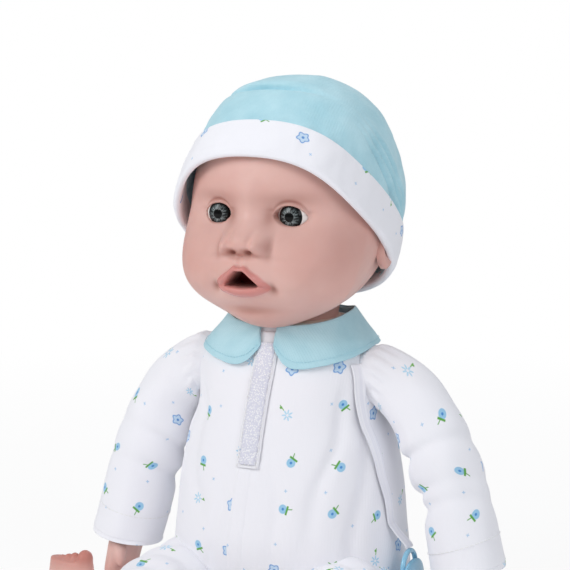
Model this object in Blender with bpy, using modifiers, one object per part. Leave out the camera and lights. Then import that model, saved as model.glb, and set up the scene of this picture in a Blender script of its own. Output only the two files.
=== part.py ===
"""Interactive baby doll, sitting: vinyl head and limbs on a stuffed cloth trunk, in a romper and a hat.

The doll looks along -Y, its left is +X, and it sits on z = 0. All lengths are in metres, angles in degrees.
"""

import math

import bmesh
import bpy
from mathutils import Matrix, Vector

# ---- clearances and cloth ----
BODY_CLOTH_COLOUR = (0.86, 0.80, 0.74)
PRINT_COLOUR = (0.93, 0.93, 0.96)
JERSEY_COLOUR = (0.62, 0.84, 0.90)
SATIN_COLOUR = (0.95, 0.95, 0.97)
TAPE_COLOUR = (0.90, 0.90, 0.94)
LIMB_COLOUR = (0.66, 0.42, 0.36)
FACE_COLOUR = (0.80, 0.56, 0.50)
EYE_COLOUR = (0.20, 0.22, 0.24)
NYLON_COLOUR = (0.85, 0.85, 0.82)
CASE_COLOUR = (0.86, 0.86, 0.84)
BUTTON_COLOUR = (0.80, 0.25, 0.25)
STEEL_COLOUR = (0.70, 0.70, 0.72)
CELL_COLOUR = (0.25, 0.42, 0.30)
BOARD_COLOUR = (0.10, 0.35, 0.18)
SPEAKER_COLOUR = (0.12, 0.12, 0.13)
PACIFIER_COLOUR = (0.45, 0.74, 0.86)
TEAT_COLOUR = (0.93, 0.90, 0.85)

TIE_THICKNESS = 0.0014
NECK_TIE_THICKNESS = 0.0016
NECK_TIE_DROP = 0.0020
ELBOW_PLACE = 4.7
ARM_TIE_PLACE = 4.55
PLUG_SHORTFALL = 0.0045
MOUTH_INSET = 0.0060
EAR_BEHIND = 0.0080
EAR_DROP = 0.0250
EAR_SINK = 0.0048
BACK_CLEAR = 0.0900
LEG_CLEAR = 0.1200
NECK_BORE_LENGTH = 0.0600
TAPE_INSET = 0.0020

GAP = 0.0003
CLOTH = 0.0012
LOOSE_FIT = 0.0007
STAND_OFF = 0.0006

# ---- trunk: heights of its stations, and its half width, front and back reach at each ----
SEAT_LIFT = 0.0
NECK_HEIGHT = 0.188
SHOULDER_HEIGHT = 0.158
HIP_HEIGHT = 0.0305
HIP_HALF_WIDTH = 0.073
WAIST_HALF_WIDTH = 0.0685
SHOULDER_HALF_WIDTH = 0.057
BELLY_REACH = 0.062
CHEST_REACH = 0.049
BACK_REACH = 0.049
TRUNK_FULLNESS = 2.3
TRUNK_SIDES = 24
TRUNK_LEVELS = 12

# ---- neck ----
NECK_AXIS_Y = 0.004
NECK_RADIUS = 0.0258
NECK_CASING_WALL = 0.0032
NECK_CASING_TOP = NECK_HEIGHT + 0.0022
NECK_STUB_BOTTOM = NECK_HEIGHT - 0.016
NECK_BORE_RADIUS = 0.0215

# ---- head ----
HEAD_HALF_WIDTH = 0.060
HEAD_HALF_DEPTH = 0.064
HEAD_HALF_HEIGHT = 0.070
CHIN_CLEARANCE = 0.001
HEAD_CENTRE_HEIGHT = NECK_HEIGHT + HEAD_HALF_HEIGHT + CHIN_CLEARANCE
HEAD_TURN = 0.0
HEAD_SIDES = 36
HEAD_RINGS = 27
HEAD_WALL = 0.008
EYE_SPACING = 0.045
EYE_RADIUS = 0.0110
EYE_DEPTH = 0.0470
EYE_DROP = 0.0035
MOUTH_DROP = 0.0425
MOUTH_HALF_WIDTH = 0.0085
MOUTH_HALF_HEIGHT = 0.0055
MOUTH_POCKET_DEPTH = 0.016
EAR_HALF_HEIGHT = 0.0140
EAR_HALF_LENGTH = 0.0090
EAR_HALF_THICKNESS = 0.0045

# ---- hat, in its own tilted axes through the head's centre ----
HAT_TILT = 42.0
HAT_HALF_WIDTH = 0.0664
HAT_HALF_LENGTH = 0.0698
HAT_RISE = 0.0712
HAT_RIM_DROP = 0.0195
HAT_FULLNESS = 2.4
CUFF_HEIGHT = 0.026
CUFF_THICKNESS = 0.0022

# ---- arms: the sleeve's centre line runs out and down from the shoulder ----
ARM_OUT = (0.0, 0.009, 0.018, 0.025, 0.031, 0.037, 0.042, 0.046, 0.0475, 0.050)
ARM_DROP = (0.0, 0.006, 0.015, 0.026, 0.039, 0.058, 0.078, 0.104, 0.112, 0.138)
ARM_TILT = (0.0, 22.0, 42.0, 56.0, 65.0, 72.0, 76.0, 78.0, 80.0, 82.0)
ARM_LEAN = 0.014
ARM_START = SHOULDER_HALF_WIDTH + 0.0012
LEFT_ARM_SPREAD = 0.014
SLEEVE_ROOT_RADIUS = 0.018
SLEEVE_FULL_RADIUS = 0.0220
SLEEVE_HEM_RADIUS = 0.0195
ARM_ROOT_RADIUS = 0.0072
ARM_FULL_RADIUS = 0.0148
ELBOW_RADIUS = 0.0150
WRIST_RADIUS = 0.0115
ARM_ROOT_DEPTH = 0.005
LIMB_SIDES = 16
FINGER_RADIUS = 0.0042
FINGER_LENGTH = 0.017

# ---- legs: they lie forward on the seat's plane, and swing down about the hip ----
HIP_SPACING = 0.084
HIP_SETBACK = -0.004
LEG_SPLAY = 14.0
LEG_ROOT_RADIUS = 0.0297
KNEE_RADIUS = 0.0240
LEG_HEM_RADIUS = 0.0195
LEG_HEM_REACH = 0.116
THIGH_END_REACH = 0.080
ANKLE_RADIUS = 0.0135
ANKLE_REACH = 0.122
FOOT_RISE = 0.034
HIP_CLEARANCE = 0.0006
HIP_SEAM_RADIUS = 0.0090

# ---- collar, placket and ribbon ----
COLLAR_WIDTH = 0.0200
COLLAR_THICKNESS = 0.0018
PLACKET_WIDTH = 0.015
PLACKET_TOP = NECK_HEIGHT - 0.017
PLACKET_BOTTOM = 0.100
TAPE_WIDTH = 0.0115
STRIP_THICKNESS = 0.0008
RIBBON_WIDTH = 0.008
# heights on the trunk and angles from its front that the ribbon passes through
RIBBON_ROUTE = (
    (0.163, 63.0),
    (0.155, 64.0),
    (0.145, 66.0),
    (0.134, 68.0),
    (0.122, 70.0),
    (0.108, 73.0),
    (0.094, 76.0),
    (0.082, 79.0),
    (0.073, 80.0),
)

# ---- voice module in the pocket of the back ----
MODULE_WIDTH = 0.062
MODULE_HEIGHT = 0.062
MODULE_CENTRE_HEIGHT = 0.108
MODULE_FRONT = 0.011
FRONT_CASE_DEPTH = 0.010
BACK_CASE_DEPTH = 0.016
CASE_WALL = 0.0016
POCKET_SLACK = 0.0008
SPEAKER_RADIUS = 0.015
SPEAKER_DEPTH = 0.0065
SPEAKER_RISE = 0.0125
BOARD_THICKNESS = 0.0014
BUTTON_RADIUS = 0.0085
BUTTON_DROP = 0.018
BUTTON_TRAVEL = 0.002
BUTTON_PROUD = 0.003
CELL_RADIUS = 0.0052
CELL_LENGTH = 0.0445
SCREW_RADIUS = 0.0025

# ---- pacifier, hanging by its ring from the ribbon's end at the left hip ----
PACIFIER_X = 0.0815
PACIFIER_Y = -0.0125
PACIFIER_TOP = 0.058
SHIELD_RADIUS = 0.0165
SHIELD_THICKNESS = 0.003
TEAT_RADIUS = 0.0050
TEAT_LENGTH = 0.010
RING_RADIUS = 0.0100
RING_THICKNESS = 0.0030

parts = None
cutters = None


# ---------------------------------------------------------------- helpers

def clear_scene():
    for old in list(bpy.data.objects):
        bpy.data.objects.remove(old, do_unlink=True)


def add_collection(name):
    group = bpy.data.collections.new(name)
    bpy.context.scene.collection.children.link(group)
    return group


def finish(name, colour, roughness):
    """A Principled material of one plain finish."""
    material = bpy.data.materials.new(name)
    material.use_nodes = True
    shader = material.node_tree.nodes["Principled BSDF"]
    shader.inputs["Base Color"].default_value = (*colour, 1.0)
    shader.inputs["Roughness"].default_value = roughness
    shader.inputs["Metallic"].default_value = 1.0 if name.endswith("metal") else 0.0
    return material


def add_object(name, mesh, colour=(0.8, 0.8, 0.8), roughness=0.6, metal=False):
    mesh.materials.clear()
    suffix = "_metal" if metal else "_finish"
    mesh.materials.append(finish(name + suffix, colour, roughness))
    thing = bpy.data.objects.new(name, mesh)
    parts.objects.link(thing)
    return thing


def to_mesh(form, name):
    """Turn a bmesh into a smooth-shaded mesh with its faces pointing out."""
    bmesh.ops.recalc_face_normals(form, faces=form.faces)
    if form.calc_volume(signed=True) < 0:
        bmesh.ops.reverse_faces(form, faces=form.faces)
    mesh = bpy.data.meshes.new(name)
    form.to_mesh(mesh)
    form.free()
    mesh.shade_smooth()
    return mesh


def as_cutter(name, mesh):
    thing = bpy.data.objects.new(name, mesh)
    cutters.objects.link(thing)
    thing.hide_render = True
    thing.display_type = "WIRE"
    return thing


def cut(thing, cutter, operation="DIFFERENCE"):
    modifier = thing.modifiers.new(cutter.name, "BOOLEAN")
    modifier.operation = operation
    modifier.object = cutter
    modifier.solver = "EXACT"


def thicken(thing, wall, offset=-1.0):
    modifier = thing.modifiers.new("wall", "SOLIDIFY")
    modifier.thickness = wall
    modifier.offset = offset
    modifier.use_even_offset = False


def spline(stations, place):
    """Smooth value at a place along stations [(place, value), ...] in rising order."""
    last = len(stations) - 1
    if place <= stations[0][0]:
        return stations[0][1]
    if place >= stations[last][0]:
        return stations[last][1]
    k = 0
    while stations[k + 1][0] < place:
        k += 1
    before = stations[max(k - 1, 0)]
    start = stations[k]
    end = stations[k + 1]
    after = stations[min(k + 2, last)]
    span = end[0] - start[0]
    rise_in = (end[1] - before[1]) / (end[0] - before[0]) * span
    rise_out = (after[1] - start[1]) / (after[0] - start[0]) * span
    t = (place - start[0]) / span
    return (
        (2 * t**3 - 3 * t**2 + 1) * start[1]
        + (t**3 - 2 * t**2 + t) * rise_in
        + (3 * t**2 - 2 * t**3) * end[1]
        + (t**3 - t**2) * rise_out
    )


def loft(rings, name, close_start=True, close_end=True):
    """Skin a list of rings that have equal numbers of points."""
    form = bmesh.new()
    rows = [[form.verts.new(point) for point in ring] for ring in rings]
    for near, far in zip(rows, rows[1:]):
        for k in range(len(near)):
            after = (k + 1) % len(near)
            form.faces.new((near[k], near[after], far[after], far[k]))
    if close_start:
        form.faces.new(rows[0])
    if close_end:
        form.faces.new(rows[-1])
    return to_mesh(form, name)


def oval(centre, across, along, half_across, half_along, sides, fullness=2.0):
    """A closed ring of points round a centre, squarer as fullness grows past 2."""
    points = []
    for k in range(sides):
        angle = 2 * math.pi * k / sides
        c = math.cos(angle)
        s = math.sin(angle)
        u = math.copysign(abs(c) ** (2 / fullness), c) * half_across
        v = math.copysign(abs(s) ** (2 / fullness), s) * half_along
        points.append(centre + across * u + along * v)
    return points


def box(name, low, high):
    form = bmesh.new()
    bmesh.ops.create_cube(form, size=1.0)
    size = Vector(high) - Vector(low)
    middle = (Vector(high) + Vector(low)) / 2
    for vertex in form.verts:
        vertex.co = Vector(a * b for a, b in zip(vertex.co, size)) + middle
    return to_mesh(form, name)


def cylinder(name, centre, radius, length, axis, sides=32, end_radius=None):
    """A cylinder or cone centred on a point, its first radius at the low end of its axis."""
    form = bmesh.new()
    turn = Vector((0, 0, 1)).rotation_difference(Vector(axis)).to_matrix().to_4x4()
    bmesh.ops.create_cone(
        form,
        cap_ends=True,
        segments=sides,
        radius1=radius,
        radius2=radius if end_radius is None else end_radius,
        depth=length,
        matrix=Matrix.Translation(centre) @ turn,
    )
    return to_mesh(form, name)


def ellipsoid(name, centre, half_sizes, sides=16, rings=12, turn=None):
    form = bmesh.new()
    bmesh.ops.create_uvsphere(form, u_segments=sides, v_segments=rings, radius=1.0)
    for vertex in form.verts:
        point = Vector(a * b for a, b in zip(vertex.co, half_sizes))
        if turn is not None:
            point = turn @ point
        vertex.co = Vector(centre) + point
    return to_mesh(form, name)


def ring_tie(name, centre, axis, inner_radius, colour, thickness, sides=16):
    """A round-section ring about an axis."""
    form = bmesh.new()
    section = thickness / 2
    middle = inner_radius + section
    turn = Vector((0, 0, 1)).rotation_difference(Vector(axis)).to_matrix()
    rows = []
    for k in range(sides):
        angle = 2 * math.pi * k / sides
        outward = Vector((math.cos(angle), math.sin(angle), 0))
        row = []
        for j in range(6):
            around = 2 * math.pi * j / 6
            point = outward * (middle + section * math.cos(around))
            point.z = section * math.sin(around)
            row.append(form.verts.new(Vector(centre) + turn @ point))
        rows.append(row)
    for k in range(sides):
        near = rows[k]
        far = rows[(k + 1) % sides]
        for j in range(6):
            after = (j + 1) % 6
            form.faces.new((near[j], near[after], far[after], far[j]))
    return add_object(name, to_mesh(form, name), colour, 0.5)


def add_pivot(name, place, turn=0.0):
    pivot = bpy.data.objects.new(name, None)
    parts.objects.link(pivot)
    pivot.location = place
    pivot.rotation_euler = (0.0, 0.0, math.radians(turn))
    return pivot


def hang_on(pivot, things):
    """Parent things, with the cutters that shape them, to a pivot, which turns them with its own rotation."""
    for thing in things:
        tools = [modifier.object for modifier in thing.modifiers if modifier.type == "BOOLEAN"]
        for piece in [thing] + tools:
            piece.parent = pivot
            piece.matrix_parent_inverse = Matrix.Translation(-pivot.location)


# ---------------------------------------------------------------- trunk form, shared by cloth and garment

HALF_WIDTHS = (
    (0.0, HIP_HALF_WIDTH - 0.004),
    (0.040, HIP_HALF_WIDTH),
    (0.070, WAIST_HALF_WIDTH + 0.002),
    (0.093, WAIST_HALF_WIDTH),
    (0.121, SHOULDER_HALF_WIDTH + 0.0065),
    (0.133, SHOULDER_HALF_WIDTH + 0.0015),
    (0.142, SHOULDER_HALF_WIDTH),
    (SHOULDER_HEIGHT, SHOULDER_HALF_WIDTH - 0.0005),
    (0.167, SHOULDER_HALF_WIDTH - 0.003),
    (0.175, SHOULDER_HALF_WIDTH - 0.0095),
    (NECK_HEIGHT - 0.007, NECK_RADIUS + 0.0145),
    (NECK_HEIGHT, NECK_RADIUS + 0.0085),
)
FRONTS = (
    (0.0, BELLY_REACH - 0.016),
    (0.030, BELLY_REACH - 0.008),
    (0.060, BELLY_REACH),
    (0.080, BELLY_REACH - 0.003),
    (0.120, CHEST_REACH + 0.001),
    (0.145, CHEST_REACH - 0.005),
    (0.165, CHEST_REACH - 0.012),
    (0.176, CHEST_REACH - 0.0155),
    (NECK_HEIGHT, NECK_RADIUS + 0.004),
)
BACKS = (
    (0.0, BACK_REACH - 0.005),
    (0.045, BACK_REACH + 0.002),
    (0.090, BACK_REACH),
    (0.130, BACK_REACH - 0.002),
    (0.160, BACK_REACH - 0.005),
    (0.178, BACK_REACH - 0.0085),
    (NECK_HEIGHT, NECK_RADIUS + 0.012),
)


def trunk_point(height, angle, outset=0.0):
    """Point of the dressed trunk's surface: angle 0 is the front, 90 degrees the doll's left."""
    half_width = spline(HALF_WIDTHS, height) + outset
    side = math.sin(angle)
    ahead = math.cos(angle)
    reach = spline(FRONTS if ahead > 0 else BACKS, height) + outset
    x = math.copysign(abs(side) ** (2 / TRUNK_FULLNESS), side) * half_width
    y = -math.copysign(abs(ahead) ** (2 / TRUNK_FULLNESS), ahead) * reach
    return Vector((x, y, height))


def trunk_rings(bottom, top, outset):
    """Rings on one ladder of heights, closer together towards the neck, so nested skins keep their gap."""
    ladder = [NECK_HEIGHT * (1 - (1 - k / TRUNK_LEVELS) ** 1.6) for k in range(TRUNK_LEVELS + 1)]
    heights = [bottom] + [height for height in ladder if bottom + 0.002 < height < top - 0.0008] + [top]
    rings = []
    for height in heights:
        ring = [trunk_point(height, 2 * math.pi * j / TRUNK_SIDES, outset) for j in range(TRUNK_SIDES)]
        rings.append(ring)
    return rings


def down_from_neck(angle, distance, outset):
    """Walk down the trunk's surface from the neck edge, as a tape measure would."""
    step = 0.0006
    height = NECK_HEIGHT - 0.0015
    point = trunk_point(height, angle, outset)
    gone = 0.0
    while gone < distance:
        height -= step
        following = trunk_point(height, angle, outset)
        gone += (following - point).length
        point = following
    return point


def hip_cutter(name, side, clearance):
    """Room for a leg: a barrel round the hip's axis, open to the front and below."""
    radius = LEG_ROOT_RADIUS + clearance
    inner = HIP_SPACING / 2 - radius - GAP
    beyond = LEG_CLEAR
    outline = []
    for k in range(9):
        angle = math.radians(90 - 90 * k / 8)
        outline.append((HIP_SETBACK + radius * math.cos(angle), HIP_HEIGHT + radius * math.sin(angle)))
    outline += [(HIP_SETBACK + radius, -beyond), (-beyond, -beyond), (-beyond, HIP_HEIGHT + radius)]
    near = [Vector((side * inner, y, z)) for y, z in outline]
    far = [Vector((side * beyond, y, z)) for y, z in outline]
    return as_cutter(name, loft([near, far], name))


def shoulder_cutter(name, side, start, radius):
    """Round room for an arm's root, from a start beside the middle to past the side of the trunk."""
    end = BACK_CLEAR
    centre = Vector((side * (start + end) / 2, 0.0, SHOULDER_HEIGHT))
    return as_cutter(name, cylinder(name, centre, radius, end - start, (1, 0, 0), 24))


# ---------------------------------------------------------------- stuffed trunk with its pocket

def make_trunk():
    inset = -(CLOTH + LOOSE_FIT)
    bottom = SEAT_LIFT + CLOTH + LOOSE_FIT
    rings = trunk_rings(bottom, NECK_HEIGHT - 0.0035, inset)
    casing_radius = NECK_RADIUS + GAP + NECK_CASING_WALL
    neck = Vector((0.0, NECK_AXIS_Y, 0.0))
    for height in (NECK_HEIGHT - 0.001, NECK_CASING_TOP):
        ring = oval(
            neck + Vector((0, 0, height)),
            Vector((0, -1, 0)),
            Vector((1, 0, 0)),
            casing_radius,
            casing_radius,
            TRUNK_SIDES,
        )
        rings.append(ring)
    trunk = add_object("torso_body", loft(rings, "torso_body"), BODY_CLOTH_COLOUR, 0.9)
    socket_length = NECK_CASING_TOP - NECK_STUB_BOTTOM + 0.02
    socket_middle = NECK_STUB_BOTTOM - 2 * GAP + socket_length / 2
    socket = cylinder(
        "neck_socket", (0, NECK_AXIS_Y, socket_middle), NECK_RADIUS + GAP, socket_length, (0, 0, 1), 32
    )
    cut(trunk, as_cutter("neck_socket", socket))
    for side, label in ((-1, "right"), (1, "left")):
        cut(trunk, hip_cutter("hip_room_" + label, side, HIP_CLEARANCE + CLOTH + LOOSE_FIT))
        start = SHOULDER_HALF_WIDTH - ARM_ROOT_DEPTH
        cut(trunk, shoulder_cutter("arm_socket_" + label, side, start, ARM_ROOT_RADIUS + GAP))
    half_width = MODULE_WIDTH / 2 + POCKET_SLACK
    half_height = MODULE_HEIGHT / 2 + POCKET_SLACK
    front = MODULE_FRONT - BUTTON_PROUD - POCKET_SLACK
    low = (-half_width, front, MODULE_CENTRE_HEIGHT - half_height)
    high = (half_width, BACK_CLEAR, MODULE_CENTRE_HEIGHT + half_height)
    cut(trunk, as_cutter("module_pocket", box("module_pocket", low, high)))
    make_pocket_flap(inset, half_width, half_height)
    return trunk


def make_pocket_flap(inset, half_width, half_height):
    """The sewn flap that closes the pocket: a slice of the trunk's back between module and garment."""
    slice_of_back = loft(trunk_rings(0.05, 0.17, inset), "pocket_flap")
    flap = add_object("pocket_flap", slice_of_back, BODY_CLOTH_COLOUR, 0.92)
    front = MODULE_FRONT + FRONT_CASE_DEPTH + BACK_CASE_DEPTH + 2 * GAP
    low = (-half_width + GAP, front, MODULE_CENTRE_HEIGHT - half_height + GAP)
    high = (half_width - GAP, BACK_CLEAR, MODULE_CENTRE_HEIGHT + half_height - GAP)
    cut(flap, as_cutter("flap_outline", box("flap_outline", low, high)), "INTERSECT")
    return flap


# ---------------------------------------------------------------- romper, collar, placket and ribbon

def make_romper():
    rings = trunk_rings(SEAT_LIFT, NECK_HEIGHT, 0.0)
    romper = add_object("romper_body", loft(rings, "romper_body"), PRINT_COLOUR, 0.85)
    inner = trunk_rings(SEAT_LIFT + CLOTH, NECK_HEIGHT + 0.004, -CLOTH)
    cut(romper, as_cutter("romper_lining", loft(inner, "romper_lining")))
    return romper


def make_romper_openings(romper):
    for side, label in ((-1, "right"), (1, "left")):
        cut(romper, hip_cutter("leg_opening_" + label, side, HIP_CLEARANCE))
        radius = ARM_ROOT_RADIUS + 2 * GAP
        cut(romper, shoulder_cutter("arm_opening_" + label, side, 0.045, radius))


def surface_strip(name, rows, colour, thickness, roughness=0.8):
    """A closed strip of cloth over a grid of points that already lie on what carries it."""
    form = bmesh.new()
    grid = [[form.verts.new(point) for point in row] for row in rows]
    for near, far in zip(grid, grid[1:]):
        for k in range(len(near) - 1):
            form.faces.new((near[k], near[k + 1], far[k + 1], far[k]))
    form.normal_update()
    strip = add_object(name, to_mesh(form, name), colour, roughness)
    middle = strip.data.polygons[len(strip.data.polygons) // 2]
    outward = Vector((middle.center.x, middle.center.y - NECK_AXIS_Y, 0.02))
    if middle.normal.dot(outward) < 0:
        strip.data.flip_normals()
    thicken(strip, thickness, 1.0)
    return strip


def make_collar(side, label):
    """Half of a flat two-part collar: its front corner is a rounded lobe."""
    rows = []
    columns = 16
    front_gap = math.radians(7.0)
    back_gap = math.radians(2.0)
    for k in range(columns + 1):
        t = (k / columns) ** 1.25
        angle = front_gap + (math.pi - front_gap - back_gap) * t
        corner = min(1.0, 0.16 + t / 0.17)
        width = COLLAR_WIDTH * math.sqrt(1 - (1 - corner) ** 2) * (1 + 0.35 * max(0.0, math.cos(angle)))
        row = [down_from_neck(side * angle, width * j / 3, STAND_OFF) for j in range(4)]
        for point in row:
            point.z += STAND_OFF
        rows.append(row)
    return surface_strip("collar_" + label, rows, JERSEY_COLOUR, COLLAR_THICKNESS)


def front_strip(name, width, top, bottom, outset, thickness, colour):
    """A narrow upright strip down the middle of the chest."""
    rows = []
    count = 10
    for k in range(count + 1):
        height = top + (bottom - top) * k / count
        reach = spline(FRONTS, height) + outset
        half_width = spline(HALF_WIDTHS, height) + outset
        row = []
        for j in range(4):
            across = width * (j / 3 - 0.5)
            drawn_in = (1 - abs(across / half_width) ** TRUNK_FULLNESS) ** (1 / TRUNK_FULLNESS)
            row.append(Vector((across, -reach * drawn_in, height)))
        rows.append(row)
    return surface_strip(name, rows, colour, thickness)


def make_ribbon():
    """Satin ribbon: sewn on below the collar, it lies down the garment's left side to the pacifier's ring."""
    half_turn = math.radians(4.0)
    rows = []
    for height, degrees in RIBBON_ROUTE:
        angle = math.radians(degrees)
        rows.append([trunk_point(height, angle + sign * half_turn, 2 * STAND_OFF) for sign in (-1, 1)])
    last = (rows[-1][0] + rows[-1][1]) / 2
    end = Vector((PACIFIER_X, PACIFIER_Y, PACIFIER_TOP + 2 * GAP))
    across = (rows[-1][1] - rows[-1][0]).normalized() * RIBBON_WIDTH / 2
    for share, sag in ((0.35, 0.0005), (0.7, 0.0010), (1.0, 0.0)):
        point = last.lerp(end, share) + Vector((0, 0, sag))
        rows.append([point - across, point + across])
    return surface_strip("ribbon", rows, SATIN_COLOUR, STRIP_THICKNESS, 0.35)


# ---------------------------------------------------------------- limbs

def arm_frame(side, place):
    """Centre and two cross directions of an arm at a place from 0, the root, to 9, the fingers."""
    steps = list(range(len(ARM_OUT)))
    out = spline(list(zip(steps, ARM_OUT)), place)
    drop = spline(list(zip(steps, ARM_DROP)), place)
    tilt = math.radians(spline(list(zip(steps, ARM_TILT)), place))
    whole_drop = ARM_DROP[7]
    if side > 0:
        out += LEFT_ARM_SPREAD * drop / whole_drop
        tilt -= math.radians(6.0) * min(1.0, drop / whole_drop * 2)
    lean = ARM_LEAN * (drop / whole_drop) ** 2
    centre = Vector((side * (ARM_START + out), -lean, SHOULDER_HEIGHT - drop))
    outward = Vector((side * math.sin(tilt), 0.0, math.cos(tilt)))
    return centre, outward, Vector((0.0, 1.0, 0.0))


def arm_rings(side, places, sizes, sides=LIMB_SIDES):
    rings = []
    for place, size in zip(places, sizes):
        centre, outward, along = arm_frame(side, place)
        thick, wide = size if isinstance(size, tuple) else (size, size)
        rings.append(oval(centre, outward, along, thick, wide, sides))
    return rings


def make_arm(side, label):
    sleeve_places = (0, 0.6, 1.3, 2, 3, 4, 5, 6, 6.6, 7)
    full = SLEEVE_FULL_RADIUS
    root = SLEEVE_ROOT_RADIUS
    hem = SLEEVE_HEM_RADIUS
    radii = (
        root,
        root,
        root + 0.0004,
        root + 0.001,
        full - 0.002,
        full - 0.0005,
        full,
        full - 0.001,
        hem + 0.0004,
        hem,
    )
    sleeve_mesh = loft(arm_rings(side, sleeve_places, radii), "sleeve_" + label, False, False)
    sleeve = add_object("sleeve_" + label, sleeve_mesh, PRINT_COLOUR, 0.85)
    thicken(sleeve, CLOTH)

    root_ring = Vector((side * (SHOULDER_HALF_WIDTH - ARM_ROOT_DEPTH + GAP), 0.0, SHOULDER_HEIGHT))
    root_axes = (Vector((0, 0, 1)), Vector((0, 1, 0)))
    rings = [oval(root_ring, *root_axes, ARM_ROOT_RADIUS, ARM_ROOT_RADIUS, LIMB_SIDES)]
    full_arm = ARM_FULL_RADIUS
    swell = (ARM_ROOT_RADIUS, full_arm - 0.0015, full_arm, full_arm + 0.0006, full_arm, ELBOW_RADIUS - 0.001)
    rings += arm_rings(side, (0, 1, 2, 3, 4, ELBOW_PLACE), swell)
    upper = add_object("upper_arm_" + label, loft(rings, "upper_arm_" + label), BODY_CLOTH_COLOUR, 0.9)

    cut_centre, outward, along = arm_frame(side, ELBOW_PLACE)
    plug_radius = ELBOW_RADIUS - PLUG_SHORTFALL
    down = outward.cross(along).normalized() * -side
    down = down if down.z < 0 else -down
    socket = cylinder("arm_plug_" + label, cut_centre, plug_radius + GAP, 0.012, down, 16)
    cut(upper, as_cutter("arm_plug_" + label, socket))

    rings = []
    for depth in (-0.0055, 0.0006):
        rings.append(oval(cut_centre + down * depth, outward, along, plug_radius, plug_radius, LIMB_SIDES))
    first = ELBOW_RADIUS - 0.001
    rings.append(oval(cut_centre + down * 0.0007, outward, along, first, first, LIMB_SIDES))
    wrist = WRIST_RADIUS
    rings += arm_rings(
        side,
        (5.1, 5.7, 6.4, 7.05, 7.6, 8.2, 8.7, 9.0),
        (
            ELBOW_RADIUS,
            ELBOW_RADIUS + 0.0006,
            wrist + 0.0025,
            wrist,
            (wrist - 0.001, wrist + 0.0022),
            (wrist - 0.0022, wrist + 0.0046),
            (wrist - 0.0035, wrist + 0.0048),
            (wrist - 0.0062, wrist + 0.0030),
        ),
    )
    forearm = add_object("forearm_" + label, loft(rings, "forearm_" + label), LIMB_COLOUR, 0.55)
    for cutter in make_fingers(side, label):
        cut(forearm, cutter, "UNION")

    tie_centre, _, _ = arm_frame(side, ARM_TIE_PLACE)
    tie_radius = ELBOW_RADIUS - 0.0004
    tie = ring_tie("arm_tie_" + label, tie_centre, down, tie_radius, NYLON_COLOUR, TIE_THICKNESS)
    return sleeve, upper, forearm, tie


def make_fingers(side, label):
    """Four fingers curled a little towards the body, and a thumb at the front."""
    fingers = []
    centre, outward, along = arm_frame(side, 8.8)
    down = Vector((-side * 0.10, -0.05, -1.0)).normalized()
    inward = Vector((-side, 0.0, 0.0))
    for k in range(4):
        name = f"finger_{k + 1}_{label}"
        spread = (k - 1.5) * 2 * FINGER_RADIUS * 0.93
        length = FINGER_LENGTH * (1.0 - 0.13 * abs(k - 1.3))
        root = centre + along * spread
        direction = (down + inward * 0.22 + along * 0.07 * (k - 1.5)).normalized()
        turn = Vector((0, 0, -1)).rotation_difference(direction).to_matrix()
        middle = root + direction * length * 0.5
        mesh = ellipsoid(name, middle, (FINGER_RADIUS, FINGER_RADIUS, length * 0.78), 8, 7, turn)
        fingers.append(as_cutter(name, mesh))
    centre, outward, along = arm_frame(side, 8.0)
    direction = (Vector((-side * 0.35, -0.55, -0.75))).normalized()
    turn = Vector((0, 0, -1)).rotation_difference(direction).to_matrix()
    middle = centre - along * WRIST_RADIUS * 0.95 + direction * 0.006
    name = "thumb_" + label
    mesh = ellipsoid(name, middle, (FINGER_RADIUS * 1.1, FINGER_RADIUS * 1.1, 0.0125), 8, 7, turn)
    fingers.append(as_cutter(name, mesh))
    return fingers


def leg_frame(side, reach, drop_to):
    """Centre of a leg at a reach from the hip, and the directions along and across it."""
    splay = math.radians(LEG_SPLAY)
    ahead = Vector((side * math.sin(splay), -math.cos(splay), 0.0))
    across = Vector((math.cos(splay), side * math.sin(splay), 0.0))
    hip = Vector((side * HIP_SPACING / 2, HIP_SETBACK, 0.0))
    return hip + ahead * reach + Vector((0, 0, drop_to)), ahead, across


def leg_rings(side, reaches, radii, lift=0.0, sides=LIMB_SIDES):
    """Round rings whose lowest points lie on the seat plane, turned smoothly into the hip's barrel."""
    rings = []
    for reach, radius in zip(reaches, radii):
        skin = spline(LEG_RADII, reach)
        height = HIP_HEIGHT if reach <= 0 else skin + (HIP_HEIGHT - LEG_ROOT_RADIUS)
        centre, ahead, across = leg_frame(side, reach, height + lift)
        rings.append(oval(centre, across, Vector((0, 0, 1)), radius, radius, sides))
    return rings


LEG_RADII = (
    (0.0, LEG_ROOT_RADIUS),
    (0.030, LEG_ROOT_RADIUS - 0.001),
    (0.075, KNEE_RADIUS + 0.001),
    (LEG_HEM_REACH, LEG_HEM_RADIUS),
    (0.150, 0.0150),
)


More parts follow.
